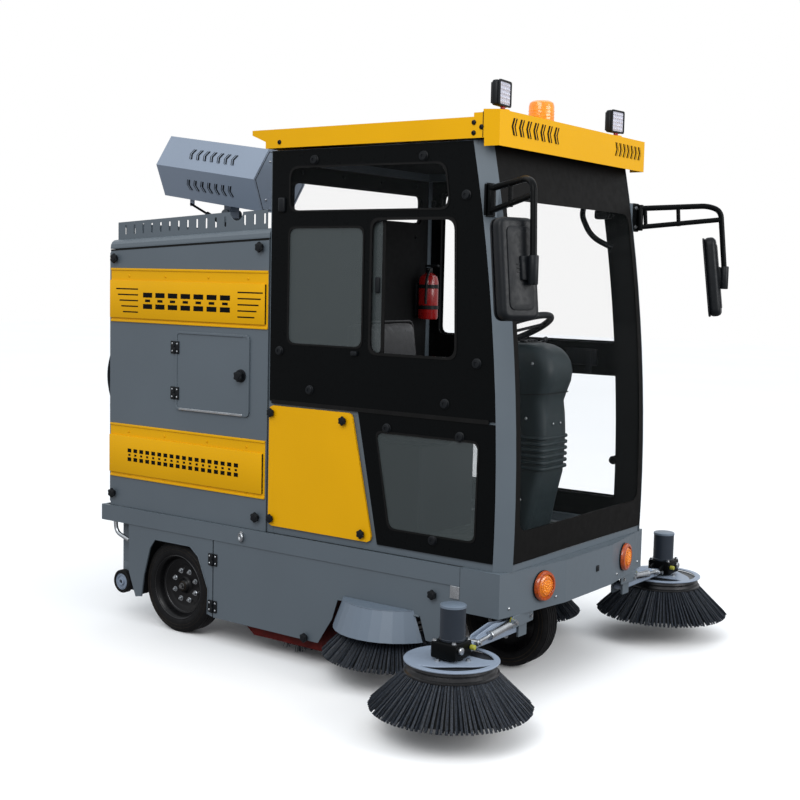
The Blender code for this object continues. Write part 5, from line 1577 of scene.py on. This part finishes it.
def blower():
    """Vents, mouth grille, end screws and the tilt pin of the blower."""
    trim = Piece("blower_vents", "blower", "light_grey_paint")
    centre = upright(0, 1.883, 2.016) @ Matrix.Rotation(radians(8), 4, "X")
    wide, flat, high, length = 0.174, 0.098, 0.139, 0.623
    for side in (-1, 1):
        for level in (1, -1):
            out = Vector((side * high, 0, level * (wide - flat))).normalized()
            ahead = Vector((0, -1, 0))
            across = out.cross(ahead)
            middle = Vector((side * (wide + flat) / 2, 0, level * high / 2)) + 0.0002 * out
            face = centre @ axes(ahead, across, out, middle)
            vent_row(trim, face @ shift(0.010, 0), pale_paint, 0.044, 0.012, 0.026, 0.0052)
    outline = [(-wide, 0), (-flat, -high), (flat, -high), (wide, 0), (flat, high), (-flat, high)]
    mouth = centre @ axes((-1, 0, 0), (0, 0, 1), (0, 1, 0), (0, length / 2 - 0.004, 0))
    inner = [(0.90 * u, 0.90 * v) for u, v in outline]
    shrunk = [(0.964 * u, 0.956 * v) for u, v in outline]
    trim.add(sheet([shrunk, inner], 0.004, 0.001), mouth, pale_paint)
    for i in range(9):
        v = -0.112 + 0.028 * i
        half = flat + (wide - flat) * (1 - abs(v) / high) - 0.012
        trim.add(brick((2 * half, 0.003, 0.012), 0.001, 1), mouth @ shift(0, v, -0.004), matt_black)
    end = centre @ axes((1, 0, 0), (0, 0, 1), (0, -1, 0), (0, -length / 2, 0))
    seam = [[(0.93 * u, 0.93 * v) for u, v in outline], [(0.915 * u, 0.912 * v) for u, v in outline]]
    trim.add(sheet(seam, 0.0012), end, seal_rubber)
    for u in (-0.105, 0.0, 0.105):
        for v in (-0.085, 0.085):
            trim.add(dome_screw(0.0055), end @ shift(u * (0.75 if u else 1), v), zinc)
    pin = pipe([at(-0.034, 1.870, 1.830), at(0.034, 1.870, 1.830)], 0.007, 20)
    trim.add(pin, Matrix(), zinc)
    trim.done()
    foot = Piece("blower_foot_bolts", "chassis", "steel")
    for x in (-0.078, 0.078):
        for y in (-0.085, 0.085):
            spot = upright(x, 1.870 + y, hood_top(1.870 + y) + 0.0085)
            foot.add(bolt(0.006), spot @ Matrix.Rotation(-atan(HOOD_SLOPE), 4, "X"), zinc)
    foot.done()


# ---- bumper, skirts -----------------------------------------------------------------------
def bumper():
    """Turn lights and screws on the swept bumper, and the eyes along the belt rail."""
    corner, middle, sweep = 0.575, 0.19, 0.057
    trim = Piece("bumper_lights", "chassis", "black_plastic")
    lean = atan(sweep / (corner - middle))
    for side, _ in SIDES:
        out = Vector((side * sin(lean), -cos(lean), 0))
        across = Vector((cos(lean), side * sin(lean), 0))

        def on_wing(x, z):
            y = -sweep + (abs(x) - middle) * sweep / (corner - middle)
            return axes(across, (0, 0, 1), out, at(x, y, z) + 0.0002 * out)

        spot = on_wing(side * 0.332, 0.437)
        ring = [(0.052, 0), (0.056, 0.004), (0.056, 0.014), (0.052, 0.020)]
        ring += [(0.044, 0.021), (0.041, 0.015), (0.041, 0)]
        trim.add(spun([(0, 0), (0.057, 0), (0.057, 0.006), (0, 0.006)], 48), spot, hard_plastic)
        trim.add(spun([*ring, ring[0]], 56), spot, orange_bezel)
        dome = [(0, 0.004), (0.041, 0.004), (0.041, 0.014), (0.034, 0.020), (0.020, 0.024), (0, 0.025)]
        trim.add(spun(dome, 48), spot, amber)
        for radius, count, finish in ((0.030, 20, amber), (0.019, 13, amber_core), (0.009, 6, amber_core)):
            top = 0.0245 - 0.11 * (radius - 0.009)
            for i in range(count):
                turn = Matrix.Rotation(tau * i / count, 4, "Z")
                bead = brick((0.0062, 0.0062, 0.006), 0.0022, 2)
                trim.add(bead, spot @ turn @ shift(radius, 0, top), finish)
        trim.add(dome_screw(0.006), on_wing(side * 0.250, 0.381), zinc)
        trim.add(dome_screw(0.006), on_wing(side * 0.520, 0.381), zinc)
    cap = on_front(-0.0572) @ shift(0.062, 0.437)
    trim.add(brick((0.022, 0.024, 0.008), 0.003, 2), cap, hard_plastic)
    trim.done()
    hooks = Piece("towing_eyes", "chassis", "steel")
    for side, _ in SIDES:
        place = on_side(side, BELT_X)
        tab = sheet([rounded(frame_of(0.1705, 0.211, 0.394, 0.441), 0.003)], 0.004, 0.001)
        hooks.add(tab, on_side(side, 0.5715), zinc)
        turns = [tau * i / 12 for i in range(13)]
        eye = [(0.0150 + 0.0058 * cos(a), 0.0058 + 0.0058 * sin(a)) for a in turns]
        hooks.add(spun(eye, 36), place @ shift(1.244, 0.478) @ Matrix.Rotation(radians(24), 4, "Y"), zinc)
        hooks.add(drum(0.0080, 0, 0.006, 0.001, 20), place @ shift(1.244, 0.494), zinc)
    hooks.done()


ARCH = [(1.440, 0.118), (1.437, 0.225), (1.496, 0.357), (1.544, 0.397)]
ARCH += [(1.765, 0.397), (1.796, 0.353), (1.834, 0.227), (1.850, 0.128)]


def arch_lip_and_painted_shade():
    """Rolled lip round each wheel arch, and behind it a black band of painted shade along the arch's inside.
    """
    for side, word in SIDES:
        tub = Piece(f"wheel_arch_{word}", "chassis", "black_plastic")
        place = on_side(side, 0.5668)
        inside = [(y + (0.004 if y < 1.6 else -0.004), z - (0.004 if z > 0.39 else 0)) for y, z in ARCH]
        strip = [*ARCH, *reversed(inside)]
        tub.add(sheet([strip], 0.0075, 0.0006), place @ shift(0, 0, -0.001), grey_paint)
        # Painted shade: a black band along the inside of the arch.
        outer = [(y + (-0.012 if y < 1.6 else 0.012), z + 0.010) for y, z in ARCH]
        painted_shade_band = [*outer, *[(y + (-0.010 if y < 1.6 else 0.010), z + 0.005) for y, z in reversed(ARCH)]]
        tub.add(sheet([painted_shade_band], 0.130), place @ shift(0, 0, -0.1315), matt_black)
        tub.done()


def skirt_fittings(side, word):
    """Hinges at the skirt's rear edge, its knobs and the lip over the brush cover."""
    place = on_side(side, 0.571)
    hinge = Piece(f"skirt_hinges_{word}", "chassis", "black_plastic")
    moving = Piece(f"skirt_fittings_{word}", f"skirt_{word}", "black_plastic")
    hinge_y = 1.411
    for z in (0.357, 0.157):
        for piece, way in ((hinge, 1), (moving, -1)):
            leaf = sheet([rounded(frame_of(0.0, 0.026, -0.026, 0.026), 0.005)], 0.004, 0.001)
            piece.add(leaf, place @ shift(hinge_y, z) @ Matrix.Diagonal((way, 1, 1, 1)), hard_plastic)
            for dz in (-0.015, 0.015):
                spot = place @ shift(hinge_y + way * 0.0165, z + dz, 0.004)
                piece.add(dome_screw(0.0048), spot, zinc)
        barrel = upright(side * 0.577, hinge_y, z)
        hinge.add(drum(0.0055, 0.001, 0.026, 0.001, 16), barrel, hard_plastic)
        moving.add(drum(0.0055, -0.026, -0.001, 0.001, 16), barrel, hard_plastic)
    for y, z in ((0.285, 0.395), (0.896, 0.120)):
        moving.add(hand_knob(0.018, 0.018), place @ shift(y, z), hard_plastic)
    lip = [(0.735, 0.305), (0.345, 0.305), (0.345, 0.299), (0.735, 0.299)]
    moving.add(sheet([lip], 0.010, 0.001), place @ shift(0, 0, -0.004), grey_paint)
    hinge.done()
    moving.done()


def mid_cover_lid(side, word):
    """Pressed top lid of the cover over the middle brush, in the light grey paint darkened as painted shade.
    """
    cover = Piece(f"mid_cover_lid_{word}", f"skirt_{word}", "light_grey_paint")
    half = [(0.203 * cos(radians(a)), 0.203 * sin(radians(a))) for a in range(-54, 55, 6)]
    half = [(u, v) for u, v in half if u > 0.1145]
    cover.add(sheet([half], 0.0022, 0.0006), mirrored(side) @ upright(*MID_BRUSH, 0.3175), light_grey_with_painted_shade)
    cover.done()


def build():
    """Makes every piece: those in the middle first, then those with a fellow on each side."""
    paint_nodes()
    right_glazing()
    sliding_window()
    windscreen()
    door()
    rear_wall()
    cab_trim()
    roof()
    steering_wheel()
    console()
    pedal_tread()
    extinguisher()
    seat()
    front_wheel()
    banners()
    body_fittings()
    hatch()
    rear_door()
    guard_rail()
    blower()
    bumper()
    arch_lip_and_painted_shade()
    roller()
    for side, word in SIDES:
        work_lamp(side, word)
        mirror(side, word)
        rear_wheel(side, word)
        guide_wheel(side, word)
        front_head(side, word)
        front_arm(side, word)
        mid_head(side, word)
        skirt_fittings(side, word)
        mid_cover_lid(side, word)
        for which, (x, y) in (("front", FRONT_BRUSH), ("mid", MID_BRUSH)):
            names = (f"{which}_tufts_{word}", f"{which}_brush_body_{word}", f"{which}_brush_{word}")
            side_brush(*names, at(side * x, y, 0))


camera()
studio()
build()
